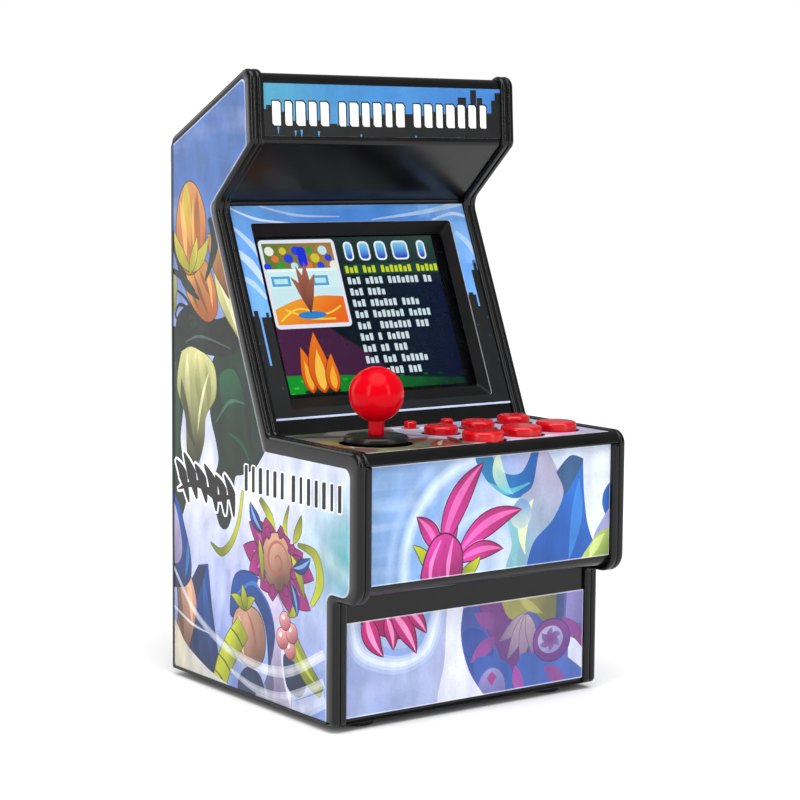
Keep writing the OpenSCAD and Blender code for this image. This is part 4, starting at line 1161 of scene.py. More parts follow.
def base_art():
    """A hanging pink bloom in a glowing arc, and a violet still life of blobs and petals."""
    art = Art()
    glow = [(-36, 28), (-34, 20), (-28.5, 16.2), (-20.5, 14.6), (-13.6, 17), (-11, 22), (-9.6, 28)]
    for width, colour, strength in ((4.8, "c9d6ee", 0.4), (2.8, "dde6f6", 0.45), (1.2, "eef2fa", 0.45)):
        art.add(ribbon(glow, [width]), colour, strength)
    inner = [(-33, 28), (-31, 21.6), (-27, 19), (-21, 17.6), (-16, 19), (-14, 23), (-12.6, 28)]
    art.add(ribbon(inner, [1.8]), "93aede", 0.75)
    art.add(blob((-32, 28), (-31, 23.6), (-27, 22.6), (-22, 21.2), (-18, 23.4), (-16.6, 28)), "b22f78", 1,
        "8e2560", ((-27, 27), (-20, 22)), edge=("6d2458", 0.3))
    for start, end, width, bend in (((-31.5, 28), (-26.4, 17.2), 4.6, -1.0),
            ((-25.6, 27), (-23.4, 18.6), 3.8, 0.6), ((-24, 28), (-16.4, 16.8), 4.8, 0.8),
            ((-19, 28), (-13.4, 21.6), 3.4, 0.4)):
        petal = art.add(leaf(start, end, width, bend, 0.8), "dd3f9c", 1, "a52f74", edge=("6d2458", 0.3))
        art.add(leaf(start, end, width * 0.34, bend, 0.8), "f6b4dc", 0.8, inside=petal)
    art.add(blob((-6.5, 28), (-1, 28), (-2, 18), (0, 10), (5, 2), (-9, 2), (-7.6, 14)), "e6e8f6", 0.85)
    group = art.add(blob((-1.6, 28), (-1.6, 28), (-2.6, 21), (-1.6, 14.6), (1.4, 8), (6, 2), (6, 2),
            (38, 2), (38, 2), (38, 28), (38, 28)), "5a6cae", 1, "7079b4", ((0, 20), (34, 20)))
    art.add(blob((-2, 20), (4, 20), (8, 14), (4, 9), (0, 10)), "4262a8", inside=group)
    art.add(ribbon([(5, 28), (10, 22), (14.5, 14), (16, 1)], [5, 9.5, 9, 6]), "8c5492", 1, "7a4a88",
        ((6, 26), (15, 6)), inside=group, edge=("6a3f78", 0.2))
    art.within(group,
        (leaf((10, 21), (1.6, 24.6), 4.2, 0.5), "a866a8", 1, "8c5492", ((2, 24), (9, 22))),
        (leaf((9.4, 17.5), (0.6, 12), 4, -0.5), "b060ac", 1, "8c5492", ((2, 13), (9, 17))),
        (blob((12, 28), (11.4, 24), (14.4, 21.4), (20, 23), (24.5, 19.8), (28, 20.6), (28.4, 28)), "b4b15e",
            1, "8f9058", ((16, 26), (26, 21))),
        (leaf((16, 27), (24, 22), 2.4, -0.4), "cdc978", 0.7))
    for start, end, width in (((17.6, 22.6), (9.6, 16.4), 3.4), ((17.8, 22.4), (12.2, 11.4), 3.6),
            ((18.2, 22.4), (16.6, 9.6), 3.6), ((18.6, 22.4), (20.6, 11.2), 3.2)):
        art.add(leaf(start, end, width, 0.6, 0.8), "c5afb4", 1, "8f7f97", inside=group,
            edge=("77698a", 0.18))
    art.add(blob((1.6, 12), (7, 13), (13.6, 9.4), (13.4, 2), (4.6, 2)), "4b72b8", inside=group)
    art.add(disc(7.4, 4.4, 4.4, 1.25), "a5a2cf", 1, "8684b8", ((7, 9), (7, 2)), inside=group,
        edge=("6f6fa6", 0.25))
    art.within(group,
        (poly((7.4, 5.2), (9, 7.4), (7.4, 9), (5.8, 7.4)), "b04f93"),
        (blob((16.8, 12), (24, 10.6), (33, 9), (38, 5.6), (38, 2), (17, 2)), "4f74b8", 1, "5f7dbc",
            ((18, 8), (36, 4))),
        (leaf((15, 9.6), (18, 1), 3.4, -0.5), "b060ac"),
        (leaf((24.5, 8), (32, 1), 4, 0.6), "9a5c9c"),
        (poly((32.6, 15), (38, 12.4), (38, 5.4), (32.6, 9.4)), "eceef8", 0.9),
        (poly((28.4, 28), (31, 28), (31, 19), (28.4, 20)), "56688f"),
        (poly((32, 28), (38, 28), (38, 18), (31.5, 18)), "a79fca", 1, "8f8abc", ((32, 26), (37, 18))),
        (ribbon([(30, 18.6), (34, 17), (38.5, 12.6)], [3.6, 3.4, 3.4]), "9a5598"))
    art.add(disc(27, 14.6, 6.1, 0.9), "9a5c9f", 1, "76458a", ((25, 19), (29, 10)), inside=group,
        edge=("5f3a74", 0.25))
    art.add(disc(26.6, 14.8, 4.2, 0.85), "c8c3dc", 1, "a29fc4", ((25, 17), (28, 12)), inside=group)
    for k in range(6):
        a = math.radians(60 * k + 20)
        tip = (26.6 + 3.8 * math.cos(a), 14.8 + 3.2 * math.sin(a))
        art.add(leaf((26.6, 14.8), tip, 1.9, 0.5), "9a86bd", 1, "8f4a86", (tip, (26.6, 14.8)), inside=group)
    art.add(rect(-3, 2, 38, 28), "8f95c8", 0.16, inside=group)
    frame_border(art, BEAD_X, BASE_LOW, BASE_HIGH, 0.3, "eef0f8", 0.6)
    return art


def base_background(sheet):
    """Dull lavender blue with paler clouds."""
    base = sheet.ramp(sheet.u, (-38, "8c9ccb"), (-20, "96a5d0"), (-6, "a6b0d6"), (38, "a8acd0"))
    return sheet.clouded(base, 0.07, (1, 1.6, 1), 20, 0.45, 0.75, 0.5, "b4bfe0")


def deck_art():
    """Earthy leaves under the stick, pale lilac ones under the buttons, and a shade round each button."""
    art = Art()
    ground = blob((-40, -43), (-8, -43), (-3, -38), (-6, -30), (-12, -24), (-10, -14), (-6, -6), (-12, -1),
                  (-40, -1))
    art.add(ground, "8d8272", 0.9, "a59f9c", ((-24, -40), (-20, -4)))
    for start, end, width, bend, a, b in (((-39, -30), (-27, -14), 7, 2, CREAM, OLIVE),
            ((-38, -12), (-24, -4), 6, 1, "8fa37a", "5f7a58"),
            ((-39, -22), (-30, -36), 7, -1, "c98a48", BROWN),
            ((-35, -40.5), (-15, -36), 6, 1, "b9b98a", OLIVE),
            ((-38, -6), (-20, -15), 4, -1, "6a5c78", "4d4a62"),
            ((-18, -41), (-9, -30), 5, -1, "c8743c", "8c3f24"),
            ((-20, -33), (-7, -24), 5, 1, "7a4a34", "a6643c"),
            ((-13, -22), (-8, -8), 4.5, 1, "e0a050", "b86f34"),
            ((-14, -41), (-4, -34), 4, 0.8, "e07a60", "b8483c"),
            ((-9, -38), (-3, -26), 3, -0.5, "8c3a2c", "5c3430"),
            ((-12, -16), (-6, -26), 3, 0.5, "6e6a8a", "8f8cae"),
            ((-18, -8), (-6, -4), 3, 0.4, "a9b38c", "8f9a80"),
            ((4, -41), (36, -36), 5, 0.8, "d9bede", "c7a6d2"),
            ((20, -24), (37, -20), 6, 0.6, "cdb4d8", "b9a8d2"),
            ((5, -12), (30, -6), 7, 0.6, "a9b6dc", "bac4e4"),
            ((6, -30), (22, -22), 4, 0.5, "d8c6e2", "c3b2d8"),
            ((-8, -6), (8, -14), 4, 0.8, "e6e4f2", "cfd0ea"),
            ((-4, -41), (-1, -28), 3.4, 0.6, "f0e2e4", "dcbcc8")):
        art.add(leaf(start, end, width, bend), a, 0.95, b)
    for start, end, width in (((-37, -27), (-29, -38), 1.4), ((-15, -39), (-8, -31), 1.2),
            ((-12, -20), (-9, -10), 1.2), ((-36, -33), (-28, -20), 1.2), ((10, -40), (30, -37.5), 1.0)):
        art.add(leaf(start, end, width, 0.4), "f2ecd8", 0.7)
    art.add(ground, "2a2620", 0.42)
    for node, x, y, r in BUTTONS:
        art.add(disc(x, y, r + 1.15), "d9d6ea", 0.25)
    # A near-white strip along the front edge of the sheet: a painted highlight where light catches that edge.
    art.add(rect(-BEAD_X, DECK_FRONT, BEAD_X, DECK_FRONT + 0.5), "f2f2f6", 0.85)
    return art


def deck_background(sheet):
    """Grey on the left to lilac on the right."""
    base = sheet.ramp(sheet.u, (-38, "8a8794"), (-20, "918c98"), (0, "aeaabc"), (20, "b4a8c2"),
        (38, "b0acc6"))
    return sheet.clouded(base, 0.12, (0.5, 1.4, 1), 35, 0.4, 0.7, 0.6, "9094b4", 3)


def screen_art():
    """City blocks beside the screen, light beams in the top corners and a pale line along the foot."""
    art = Art()
    block_colour, lit = "232729", "7fb2ea"
    for x0, x1, top in ((-38, -36.9, 27.6), (-36.9, -35.6, 29), (-35.6, -31, 27.2), (-33.4, -32.6, 28.4),
            (31, 34.7, 31), (32.4, 33.9, 31.6), (34.2, 38, 27.6), (35.2, 38, 38), (36.2, 37.3, 40.8),
            (-32, 32, 2.9)):
        art.add(rect(x0, -1, x1, top), block_colour)
    art.add(rect(-35.5, 14.4, -34.9, 27.6), lit, 0.95)
    art.add(rect(34.75, 27.6, 35.15, 31), lit, 0.6)
    for x, s in ((-37.4, 20), (-37.4, 16), (36.6, 24), (35.8, 19), (36.9, 12), (32.9, 22), (-33.4, 8)):
        art.add(rect(x, s, x + 0.35, s + 0.7), "4f6f8f", 0.7)
    for points, widths, strength in (([(-38, 52), (-33, 46.5), (-31, 42)], [0.6, 1.6, 1.0], 0.5),
            ([(-38, 45), (-34.5, 41.5), (-31.5, 36)], [1.6, 2.4, 1.2], 0.55),
            ([(-38, 57), (-30, 53.6), (-20, 52.4)], [0.3, 0.8, 0.2], 0.75),
            ([(-38, 38), (-35, 36), (-32, 32)], [1.2, 1.6, 0.8], 0.35),
            ([(-31, 58), (-18, 54.6), (-4, 54)], [0.3, 0.7, 0.2], 0.5),
            ([(6, 53), (24, 55), (38, 57.6)], [0.2, 1.2, 1.6], 0.5),
            ([(26, 52.6), (33, 54.4), (38, 53.4)], [0.4, 1.0, 0.8], 0.6),
            ([(33, 49), (36, 46), (38, 42)], [1.2, 1.8, 1.2], 0.4)):
        art.add(ribbon(points, widths), "eaf2fc", strength)
    for x, s, size in ((27.6, 51.5, 5.2), (31.4, 46, 6), (34.2, 40, 4), (22, 53.4, 3.6)):
        art.add(rect(x, s, x + size, s + size), "a9cdf4", 0.3)
    art.add(rect(-BEAD_X, -0.2, BEAD_X, 0.55), "ccd6ee")
    return art


def screen_background(sheet):
    """Bright sky blue, paler at both edges."""
    base = sheet.ramp(sheet.v, (0, "5f9be2"), (28, "5b98e2"), (40, "4c88da"), (52, "4684d8"),
        (58, "4c92e0"))
    base = sheet.clouded(base, 0.06, (0.5, 2.0, 1), -28, 0.45, 0.72, 0.6, "7fb4ee")
    edge = sheet.remap(sheet.math("ABSOLUTE", sheet.u), 24, 38, 0, 0.5)
    return sheet.mix(edge, base, rgb("7db6ee"))


def marquee_art():
    """A low dark skyline under a clear sky, with a row of pale upright marks."""
    art = Art()
    dark = "1d2224"
    for x0, x1, top in ((-38, -36.6, 8.2), (-36.6, -34.6, 9.2), (-34.6, -31, 7.6), (-31, -27, 5.4),
            (-27, -24.6, 8.0), (-24.6, -20, 5.6), (-20, -15.4, 4.8), (-15.4, -11, 4.4), (-11, -8, 7.0),
            (-8, -3, 6.4), (-3, 1, 7.4), (1, 4.4, 8.4), (4.4, 8.4, 7.6), (8.4, 13, 7.2), (13, 17, 8.4),
            (17, 21.6, 7.8), (21.6, 26.6, 9.6), (23.2, 26, 12.2), (26.6, 29.6, 10.2), (27.4, 29.4, 14.2),
            (29.6, 31.4, 12.2), (31.4, 34.4, 8.2), (34.4, 38, 11.6), (35.6, 38, 13.6)):
        art.add(rect(x0, -1, x1, top), dark)
    for x, t, h in ((-33.5, 1.8, 2.2), (-28.4, 1.4, 1.6), (-26.6, 0.8, 2.4), (-21.4, 0.9, 2.0),
            (-8.4, 1.4, 0.8), (9, 1.2, 0.8)):
        art.add(poly((x, t + h), (x + 0.7, t + h), (x + 0.35, t)), "63b4e6", 0.8)
    bars(art, -33.6, 3.62, (5, 6, 7), 4.2, 10.2, "f1f1f0", ("14181b", 0.42))
    return art


def marquee_background(sheet):
    """Teal to blue sky."""
    base = sheet.ramp(sheet.u, (-38, "4a9cb4"), (-22, "3f84b4"), (0, "3a7cbc"), (38, "3874bc"))
    return sheet.clouded(base, 0.08, (0.6, 1.6, 1), 12, 0.45, 0.75, 0.4, "5a9ccc")


def picture_art():
    """The glowing picture: a framed garden view, capsules, rows of plain blocks and a green field."""
    art = Art(1.0)
    left, right, low, high = -28.1, 28.1, 6.6, 50
    art.add(poly((left, 26), (-13, 26), (2, 15.5), (4, 11), (left, 11)), "4b1f45", 1, "3a1838",
        ((-28, 25), (0, 12)))
    art.add(
        poly((left, low), (right, low), (right, 9.4), (14, 10.4), (-2, 11.6), (-14, 12.4), (left, 12.8)),
        "12922a", 1, "06301f", ((-24, 9), (24, 9)))
    for k in range(26):
        u = -28 + 2.1 * k + 0.8 * math.sin(5.1 * k)
        v = 7.4 + 1.7 * (k * 7 % 3)
        art.add(poly((u, v), (u + 1.7, v), (u + 1.3, v + 0.75), (u + 0.2, v + 0.55)), "27d321",
            max(0.05, 0.95 - 0.036 * k), "1a9c2c", ((-28, 0), (6, 0)))
    art.add(disc(-18, 8.2, 5.6, 0.16), "051018", 0.9)
    for x, low, tall, wide, lean, tip in ((-21.2, 7.8, 12.5, 4.4, -0.8, "f9b233"),
            (-17.6, 7.6, 16.6, 6.2, 0.5, "fcc84a"), (-14.0, 7.8, 10.4, 4.2, 0.9, "f9b233")):
        flame = art.add(leaf((x, low), (x + lean, low + tall), wide, lean * 0.5, 0.7), "ef7d1a", 1,
            "d94c18", ((x, low + tall), (x, low)), edge=("6a1c10", 0.2))
        art.add(leaf((x, low + 0.8), (x + lean * 0.8, low + tall * 0.72), wide * 0.5, lean * 0.3, 0.7), tip,
            inside=flame)
    frame = rect(-27.9, 25.3, -4.2, 49.6, 1.3)
    art.add(frame, "e9e9f6")
    art.add(rect(-26.9, 26.4, -5.2, 48.6, 0.3), "cfeef4")
    art.add(rect(-26.9, 41.2, -5.2, 48.6), "5f7a38", 1, "a8793c", ((-26, 45), (-8, 48)))
    for k in range(16):
        x, s = -26.4 + 1.38 * k, 42.3 + 2.1 * (k * 5 % 3)
        colour = ("2b44d8", "f0efe2", "e07a3a", "3f9a3c", "d8c33c", "2b44d8", "c8e6ee")[k % 7]
        art.add(disc(x, s, 1.15 + 0.3 * (k * 3 % 2), 0.9, 10), colour)
    art.add(rect(-16.6, 42, -13.8, 47.6, 1.2), "1d31dd")
    art.add(rect(-26.9, 36.2, -5.2, 41.6), "d6f4f6")
    for x0, x1 in ((-26.2, -20.4), (-13.6, -8.6)):
        art.add(rect(x0, 36.8, x1, 39.6), "4fa9d8", edge=("eafbfd", 0.25))
        art.add(rect(x0 + 0.8, 37.5, x1 - 0.8, 38.9), "bfeaf0")
    art.add(rect(-26.9, 40.8, -5.2, 41.5), "eefcfd")
    art.add(blob((-27, 30.6), (-27, 30.6), (-20, 33), (-12, 34), (-5.1, 33.6), (-5.1, 33.6), (-5.1, 26.4),
            (-5.1, 26.4), (-27, 26.4), (-27, 26.4)), "f5a02c", 1, "ef6a1e", ((-20, 34), (-14, 26)))
    for points in ([(-26, 27.4), (-20, 30.6), (-12, 29), (-6.5, 31)], [(-24, 30.6), (-17, 28), (-9, 27.6)]):
        art.add(ribbon(points, [0.5]), "fbd94a")
    art.add(disc(-16, 28.8, 4.4, 0.24), "2b83cc")
    for lean, top, width in ((-4.2, 39.4, 2.4), (-1.8, 42.4, 2.6), (1.2, 43.4, 2.8), (3.8, 40.2, 2.4)):
        art.add(leaf((-16.2, 29.2), (-16.2 + lean, top), width, lean * 0.25), "b06a50", 1, "5c3030",
            ((-16, top), (-16, 29)))
    for x, width in ((-1.6, 2.9), (3.0, 3.7), (8.4, 3.7), (14.0, 5.4), (22.4, 2.8)):
        art.add(rect(x, 43.3, x + width, 48.7, 1.35), "eaf3fa")
        art.add(rect(x + 0.5, 43.8, x + width - 0.5, 48.2, 0.95), "7fd0f0", 1, "1634c4", ((x, 48), (x, 44)))
    ends = (27.8, 25.6, 8.8, 20, 22.8, 21.4, 14.2, 11.6, 18.6, 14.4)
    for row, end in enumerate(ends):
        s = 40.9 - 3.13 * row
        colour = "c9d92c" if row == 0 else "cfe0e6"
        if row == 0:
            art.add(rect(-3.2, s - 1.5, right, s + 1.5), "1c4a38", 0.7)
        for k in range(3):
            block_mark(art, -2.5 + 1.45 * k, s, 1.05, colour, k)
        x, k = 3.2, 0
        while x < end - 0.9:
            if (k * 5 + row * 3) % 8 != 7:
                block_mark(art, x, s, 1.05, colour, k + row)
            x += 1.47
            k += 1
    picture_frame(art, left, right, low, high)
    return art


def picture_frame(art, left, right, low, high):
    """The unlit border of the display round its picture."""
    for shape in (rect(-PANEL_X, PANEL_LOW, PANEL_X, low), rect(-PANEL_X, high, PANEL_X, PANEL_HIGH),
            rect(-PANEL_X, PANEL_LOW, left, PANEL_HIGH), rect(right, PANEL_LOW, PANEL_X, PANEL_HIGH)):
        art.add(grown(shape, 0.01), "030304")


def block_mark(art, x, s, width, colour, kind):
    """One mark of a row: a plain upright block of one of three heights."""
    top = (1.0, 0.55, 1.0, 0.8)[kind % 4]
    art.add(rect(x, s - 1.0, x + width, s + top, 0.15), colour)


def picture_background(sheet):
    """Dark teal to navy with a greener, greyer patch at the upper right."""
    base = sheet.ramp(sheet.u, (-28, "030f18"), (0, "041520"), (16, "05182c"), (28, "041030"))
    top = sheet.math("MULTIPLY", sheet.remap(sheet.v, 36, 49, 0, 1), sheet.remap(sheet.u, -10, 24, 0.35, 1))
    base = sheet.mix(top, base, rgb("2c443c"))
    foot = sheet.remap(sheet.v, 20, 7, 0, 0.5)
    return sheet.mix(foot, base, rgb("04081c"))


# ================================================================ more materials

def metal(name, low, high, rough):
    """Sheet or turned metal with fine scratches and cloudy gloss."""
    g = Graph(name)
    tone = g.noise(0.2, 3)
    scratch = g.noise(3.0, 3, 0.6, (1, 1, 8))
    g.set(base_color=g.mix(tone, rgb(low), rgb(high)), metallic=1.0)
    g.set(roughness=g.remap(g.math("ADD", tone, scratch), 0.6, 1.4, rough - 0.08, rough + 0.08))
    g.bump(scratch, 0.25, 0.01)
    return g.material


def board_material(name, mask, copper):
    """Circuit board: solder mask over traces that run in two directions, with plated dots."""
    g = Graph(name)
    waves = []
    for turn in (0, 90):
        turned = g.mapping(g.coord, (1, 1, 1), (0, turn, 0))
        wave = g.node("TexWave", Vector=turned, Scale=0.16 / MM, Distortion=1.2, Detail_Scale=1.5)
        waves.append(wave.outputs["Fac"])
    patch = g.remap(g.noise(0.09, 1), 0.48, 0.52)
    across = g.math("MULTIPLY", waves[1], g.math("SUBTRACT", 1.0, patch))
    line = g.remap(g.math("ADD", g.math("MULTIPLY", waves[0], patch), across), 0.62, 0.7)
    dots = g.node("TexVoronoi", Vector=g.coord, Scale=0.42 / MM)
    pad = g.remap(dots.outputs["Distance"], 0.16, 0.13)
    g.set(base_color=g.mix(pad, g.mix(line, rgb(mask), rgb(copper)), rgb("c9ccc4")))
    g.set(roughness=g.remap(g.noise(1.2, 2), 0.3, 0.7, 0.3, 0.42))
    g.bump(line, 0.3, 0.03)
    return g.material


def clear_material(name):
    """Clear polished acrylic with faint smears in its gloss."""
    g = Graph(name)
    smear = g.noise(0.08, 3, stretch=(1, 3, 1))
    g.set(base_color=g.mix(smear, rgb("f4f7f8"), rgb("fbfcfc")), transmission_weight=1.0, ior=1.12)
    g.set(roughness=g.remap(smear, 0.3, 0.7, 0.02, 0.07))
    return g.material


def cell_sleeve(name, band_from, band_to):
    """Battery sleeve: a dark wrap with a copper-coloured band from one height to another."""
    g = Graph(name)
    height = g.node("SeparateXYZ", Vector=g.coord).outputs["Z"]
    copper = g.remap(height, band_from * MM, band_to * MM)
    body = g.mix(g.noise(0.15, 3), rgb("20242c"), rgb("2b303a"))
    g.set(base_color=g.mix(copper, body, rgb("c58a3a")), metallic=g.math("MULTIPLY", copper, 0.8))
    g.set(roughness=g.remap(g.noise(0.5, 2), 0.3, 0.7, 0.22, 0.34))
    g.bump(g.noise(1.5, 2), 0.2, 0.01)
    return g.material


BALL = moulded("ball_red_plastic", "c20010", "cd0014", 0.16, 3.0, 0.003, 0.08)
WHITE_PLASTIC = moulded("white_moulded", "d8d8d4", "e4e4e0", 0.4, 5.0)
SILICONE = moulded("silicone_rubber", "4c5156", "5a6066", 0.6, 3.0)
RUBBER = moulded("foot_rubber", "1a1a1a", "262626", 0.75, 4.0, 0.04)
PAPER_CONE = moulded("speaker_cone_paper", "141414", "24221f", 0.85, 2.2, 0.06)
CONTROL = moulded("control_plastic", "1a1a1b", "232325", 0.42, 5.0, 0.03)
WIRE = moulded("wire_insulation", "a01414", "b81c1c", 0.45, 2.0)
FLEX = moulded("flex_film", "8a5416", "a86a20", 0.3, 2.0, 0.01)
STEEL = metal("sheet_steel", "9a9da0", "b4b6b8", 0.36)
BASKET = metal("speaker_basket_steel", "77797c", "8c8e90", 0.4)
SCREW = metal("screw_zinc", "8d8f93", "b0b2b5", 0.3)
BOARD = board_material("green_board", "0d3a22", "1f6a3c")
SLEEVE_UP = cell_sleeve("cell_sleeve_up", 46.8, 47.2)
SLEEVE_DOWN = cell_sleeve("cell_sleeve_down", 25.2, 24.8)
LENS = clear_material("clear_acrylic")


# ================================================================ labels and display

def on_wall(edge, foot=0.0):
    """Place function for a label on a recessed wall: across, up the wall from foot, and out of it."""
    low, up, back = inset(SEAT)[edge], edge_dir(edge), edge_in(edge)

    def place(u, t, out):
        y, z = low + up * (t - foot) - back * (PAPER + out)
        return (u, y, z)
    return place


def on_side(side):
    """Place function for a side label."""
    return lambda y, z, out: (side * (HALF_W - LABEL_SINK + PAPER + out), y, z)


def sheet_rect(low, high):
    """Outline of a sheet that fills the space between the beads."""
    return rect(-SHEET_X, low, SHEET_X, high, SHEET_CORNER)


def build_labels():
    side_print = printed_sheet("side_print", side_background, 0.26)
    for side, word in ((-1, "left"), (1, "right")):
        print_sheet(word + "_side_print", label_outline(LABEL_GAP), [], side_art(), on_side(side), PAPER,
                    side_print, "side_print", "side_label_" + word)
    seats = inset(SEAT)
    walls = (
        ("marquee", on_wall(MARQUEE), MARQUEE_LOW, MARQUEE_HIGH, marquee_art, marquee_background, 0.1,
         "marquee_print"),
        ("control", on_wall(FRONT, seats[FRONT][1]), CONTROL_LOW, CONTROL_HIGH, control_art,
         control_background, 0.18, "front_print"),
        ("base", on_wall(BASE, seats[BASE][1]), BASE_LOW, BASE_HIGH, base_art, base_background, 0.18,
         "base_print"))
    for word, place, low, high, art, background, shade, slot in walls:
        print_sheet(word + "_sheet", sheet_rect(low, high), [], art(), place, PAPER,
                    printed_sheet(word + "_print", background, shade), slot, word + "_label")
    window = rect(-OPEN_X, OPEN_LOW, OPEN_X, OPEN_HIGH, 0.8)
    print_sheet("screen_sheet", sheet_rect(SURROUND_LOW, SURROUND_HIGH), [window], screen_art(),
                on_slope, PAPER, printed_sheet("screen_print", screen_background), "screen_print",
                "screen_label")
    holes = [disc(x, y, r + LABEL_BUTTON_GAP, steps=64) for node, x, y, r in BUTTONS]
    holes.append(disc(STICK_X, STICK_Y, DISC_HOLE + 0.2, steps=96))
    print_sheet("deck_sheet", sheet_rect(DECK_FRONT, DECK_BACK), holes, deck_art(),
                lambda u, y, out: (u, y, LABEL_TOP + out), PAPER,
                printed_sheet("deck_print", deck_background, 0.25), "deck_print", "deck_label")
    print_sheet("display_picture", rect(-PANEL_X, PANEL_LOW, PANEL_X, PANEL_HIGH), [], picture_art(),
                lambda u, s, out: on_slope(u, s, out - SCREEN_DEEP - 0.02), PANEL_T - 0.04,
                glow_sheet("display_picture", picture_background), "display", "lcd_panel")


# ================================================================ controls

def revolve(name, outline, centre, material, body, slot, stands_for=(), steps=96, extra=()):
    """A turned piece, with any extra (verts, faces) joined to it."""
    mesh = new_mesh(name, *join(lathe(outline, steps, centre), *extra), 40)
    return piece(name, mesh, material, body, slot, stands_for)


def build_buttons():
    """Each cap: rounded rim, faintly dished top, skirt under the deck, plunger and two side tabs."""
    skirt, tab_top, tab_half, overlap = DECK_SEAM - 1.4, DECK_INNER - 0.12, 0.8, 0.3
    for node, x, y, r in BUTTONS:
        low, high = box_mm(node)
        top, foot, reach = high[2], low[2], high[0] - x
        outline = fillet(
            [(0, foot), (r * 0.42, foot), (r * 0.42, skirt), (r, skirt), (r, top), (r * 0.72, top - 0.02),
             (0, top - 0.14 * r / 5)], [0, 0.25, 0.2, 0.2, min(0.85, r * 0.3), r * 0.4, 0], 8)
        tabs = []
        if reach - r > 0.2:
            for x0, x1 in ((x - reach, x - r + overlap), (x + r - overlap, x + reach)):
                tabs.append(prism(rect(x0, y - tab_half, x1, y + tab_half), tab_top - 1.0, tab_top))
        revolve(node + "_dome", outline, (x, y, 0), RED, node + "_cap", "red_plastic", (node,), extra=tabs)


def build_joystick():
    """A glossy ball, and a domed dust disc with a fat rolled rim and a foot down in its hole."""
    low, high = box_mm("joystick_ball")
    r = (high[0] - low[0]) / 2
    centre_z, flat = high[2] - r, 0.02
    foot = low[2] - centre_z
    first = math.asin(max(-1.0, foot / r)) + flat
    arc = [(r * math.cos(a), r * math.sin(a)) for a in np.linspace(first, math.pi / 2 - flat, 40)]
    revolve("ball_top", [(0, foot)] + arc + [(0, r)], (STICK_X, STICK_Y, centre_z), BALL, "stick",
            "red_plastic", ("joystick_ball",), 128)
    low, high = box_mm("joystick_disc")
    r, top = (high[0] - low[0]) / 2, high[2]
    foot, neck = LABEL_TOP - 0.15, 3.0
    outline = fillet(
        [(0, low[2]), (neck, low[2]), (neck, foot), (r - 0.5, foot), (r, foot + 0.6), (r, foot + 2.0),
         (r * 0.8, top - 0.1), (r * 0.5, top - 0.04), (2.6, top), (0, top)],
        [0, 0.2, 0.3, 0.3, 0.4, 1.0, 2.5, 2.0, 0, 0], 8)
    revolve("dust_disc", outline, (STICK_X, STICK_Y, 0), GLOSS, "stick", "gloss_black",
            ("joystick_disc",), 128)


def build_button_works():
    """Under the deck: moulded posts, the rubber mat with a dome for each button, and the stick's spring."""
    low, high = box_mm("button_mat")
    sheet_t, post_r, pilot_r, pilot_deep = 0.5, 2.0, 0.9, 7.0
    foot, post_top = low[2], DECK_INNER + 0.02
    outline = [(0, foot + pilot_deep), (pilot_r, foot + pilot_deep), (pilot_r, foot), (post_r - 0.2, foot),
               (post_r, foot + 0.2), (post_r, post_top), (0, post_top)]
    posts = join(*[lathe(outline, 40, (x, y, 0)) for x, y in DECK_POSTS])
    piece("deck_posts", new_mesh("deck_posts", *posts, 40), CASE, "cabinet", "black_case")
    mat = prism(rect(low[0], low[1], high[0], high[1], 1.5, 6), foot, foot + sheet_t)
    holes = join(*[cylinder(x, y, post_r + 0.3, foot - 1, high[2] + 1) for x, y in DECK_POSTS])
    piece("mat_sheet", cut(new_mesh("mat", *mat), holes), SILICONE, "cabinet", "silicone", ("button_mat",))
    base = foot + sheet_t
    for node, x, y, r in BUTTONS:
        wide = min(r, 3.2)
        outline = fillet([(0, base), (wide, base), (wide - 0.15, base + 0.5), (wide - 1.1, high[2]),
                          (0, high[2])], [0, 0.05, 0.3, 0.35, 0], 5)
        dome = revolve(node + "_rubber", outline, (x, y, 0), SILICONE, "cabinet", "silicone", steps=48)
        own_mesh(dome)
    low, high = box_mm("joystick_spring")
    wire, turns, rise, inner = 0.2, 3, 0.35, 2.8
    outer = (high[0] - low[0]) / 2 - wire
    line = []
    for t in np.linspace(0, 1, 24 * turns):
        a, r = 2 * math.pi * turns * t, outer + (inner - outer) * t
        z = low[2] + wire + rise * t
        line.append(np.array((STICK_X + r * math.cos(a), STICK_Y + r * math.sin(a), z)))
    spring = new_mesh("return_spring", *tube(line, wire), 60)
    piece("return_spring", spring, SCREW, "cabinet", "screw_steel", ("joystick_spring",))


# ================================================================ CAD parts that stay

# Material, width of the softened edge, nodes.
CAD_LOOKS = (
    (CASE, 0.25, "rear_cover base_plate"), (CASE, 0.2, "battery_door"), (INNER, 0.15, "battery_box"),
    (INNER, 0.2, "joystick_housing"), (INNER, 0.1, "volume_body"), (WHITE_PLASTIC, 0.15, "joystick_yoke"),
    (BALL, 0.15, "joystick_shaft"), (CONTROL, 0.15, "switch_knob av_jack"), (CONTROL, 0.12, "volume_wheel"),
    (STEEL, 0.1, "lcd_backlight switch_body"), (STEEL, 0.08, "usb_socket"), (BASKET, 0.15, "speaker_basket"),
    (BOARD, 0.05, "main_board button_board io_board"), (FLEX, 0, "display_ribbon"),
    (SLEEVE_UP, 0.3, "battery_1 battery_3"), (SLEEVE_DOWN, 0.3, "battery_2"), (SCREW, 0, "battery_contacts"),
    (SCREW, 0.08, "case_screws board_screws"), (PAPER_CONE, 0, "speaker_cone"), (WIRE, 0, "inner_wires"),
    (RUBBER, 0.4, "foot_front_left foot_front_right foot_rear_left foot_rear_right"),
    (LENS, 0.1, "screen_lens"))


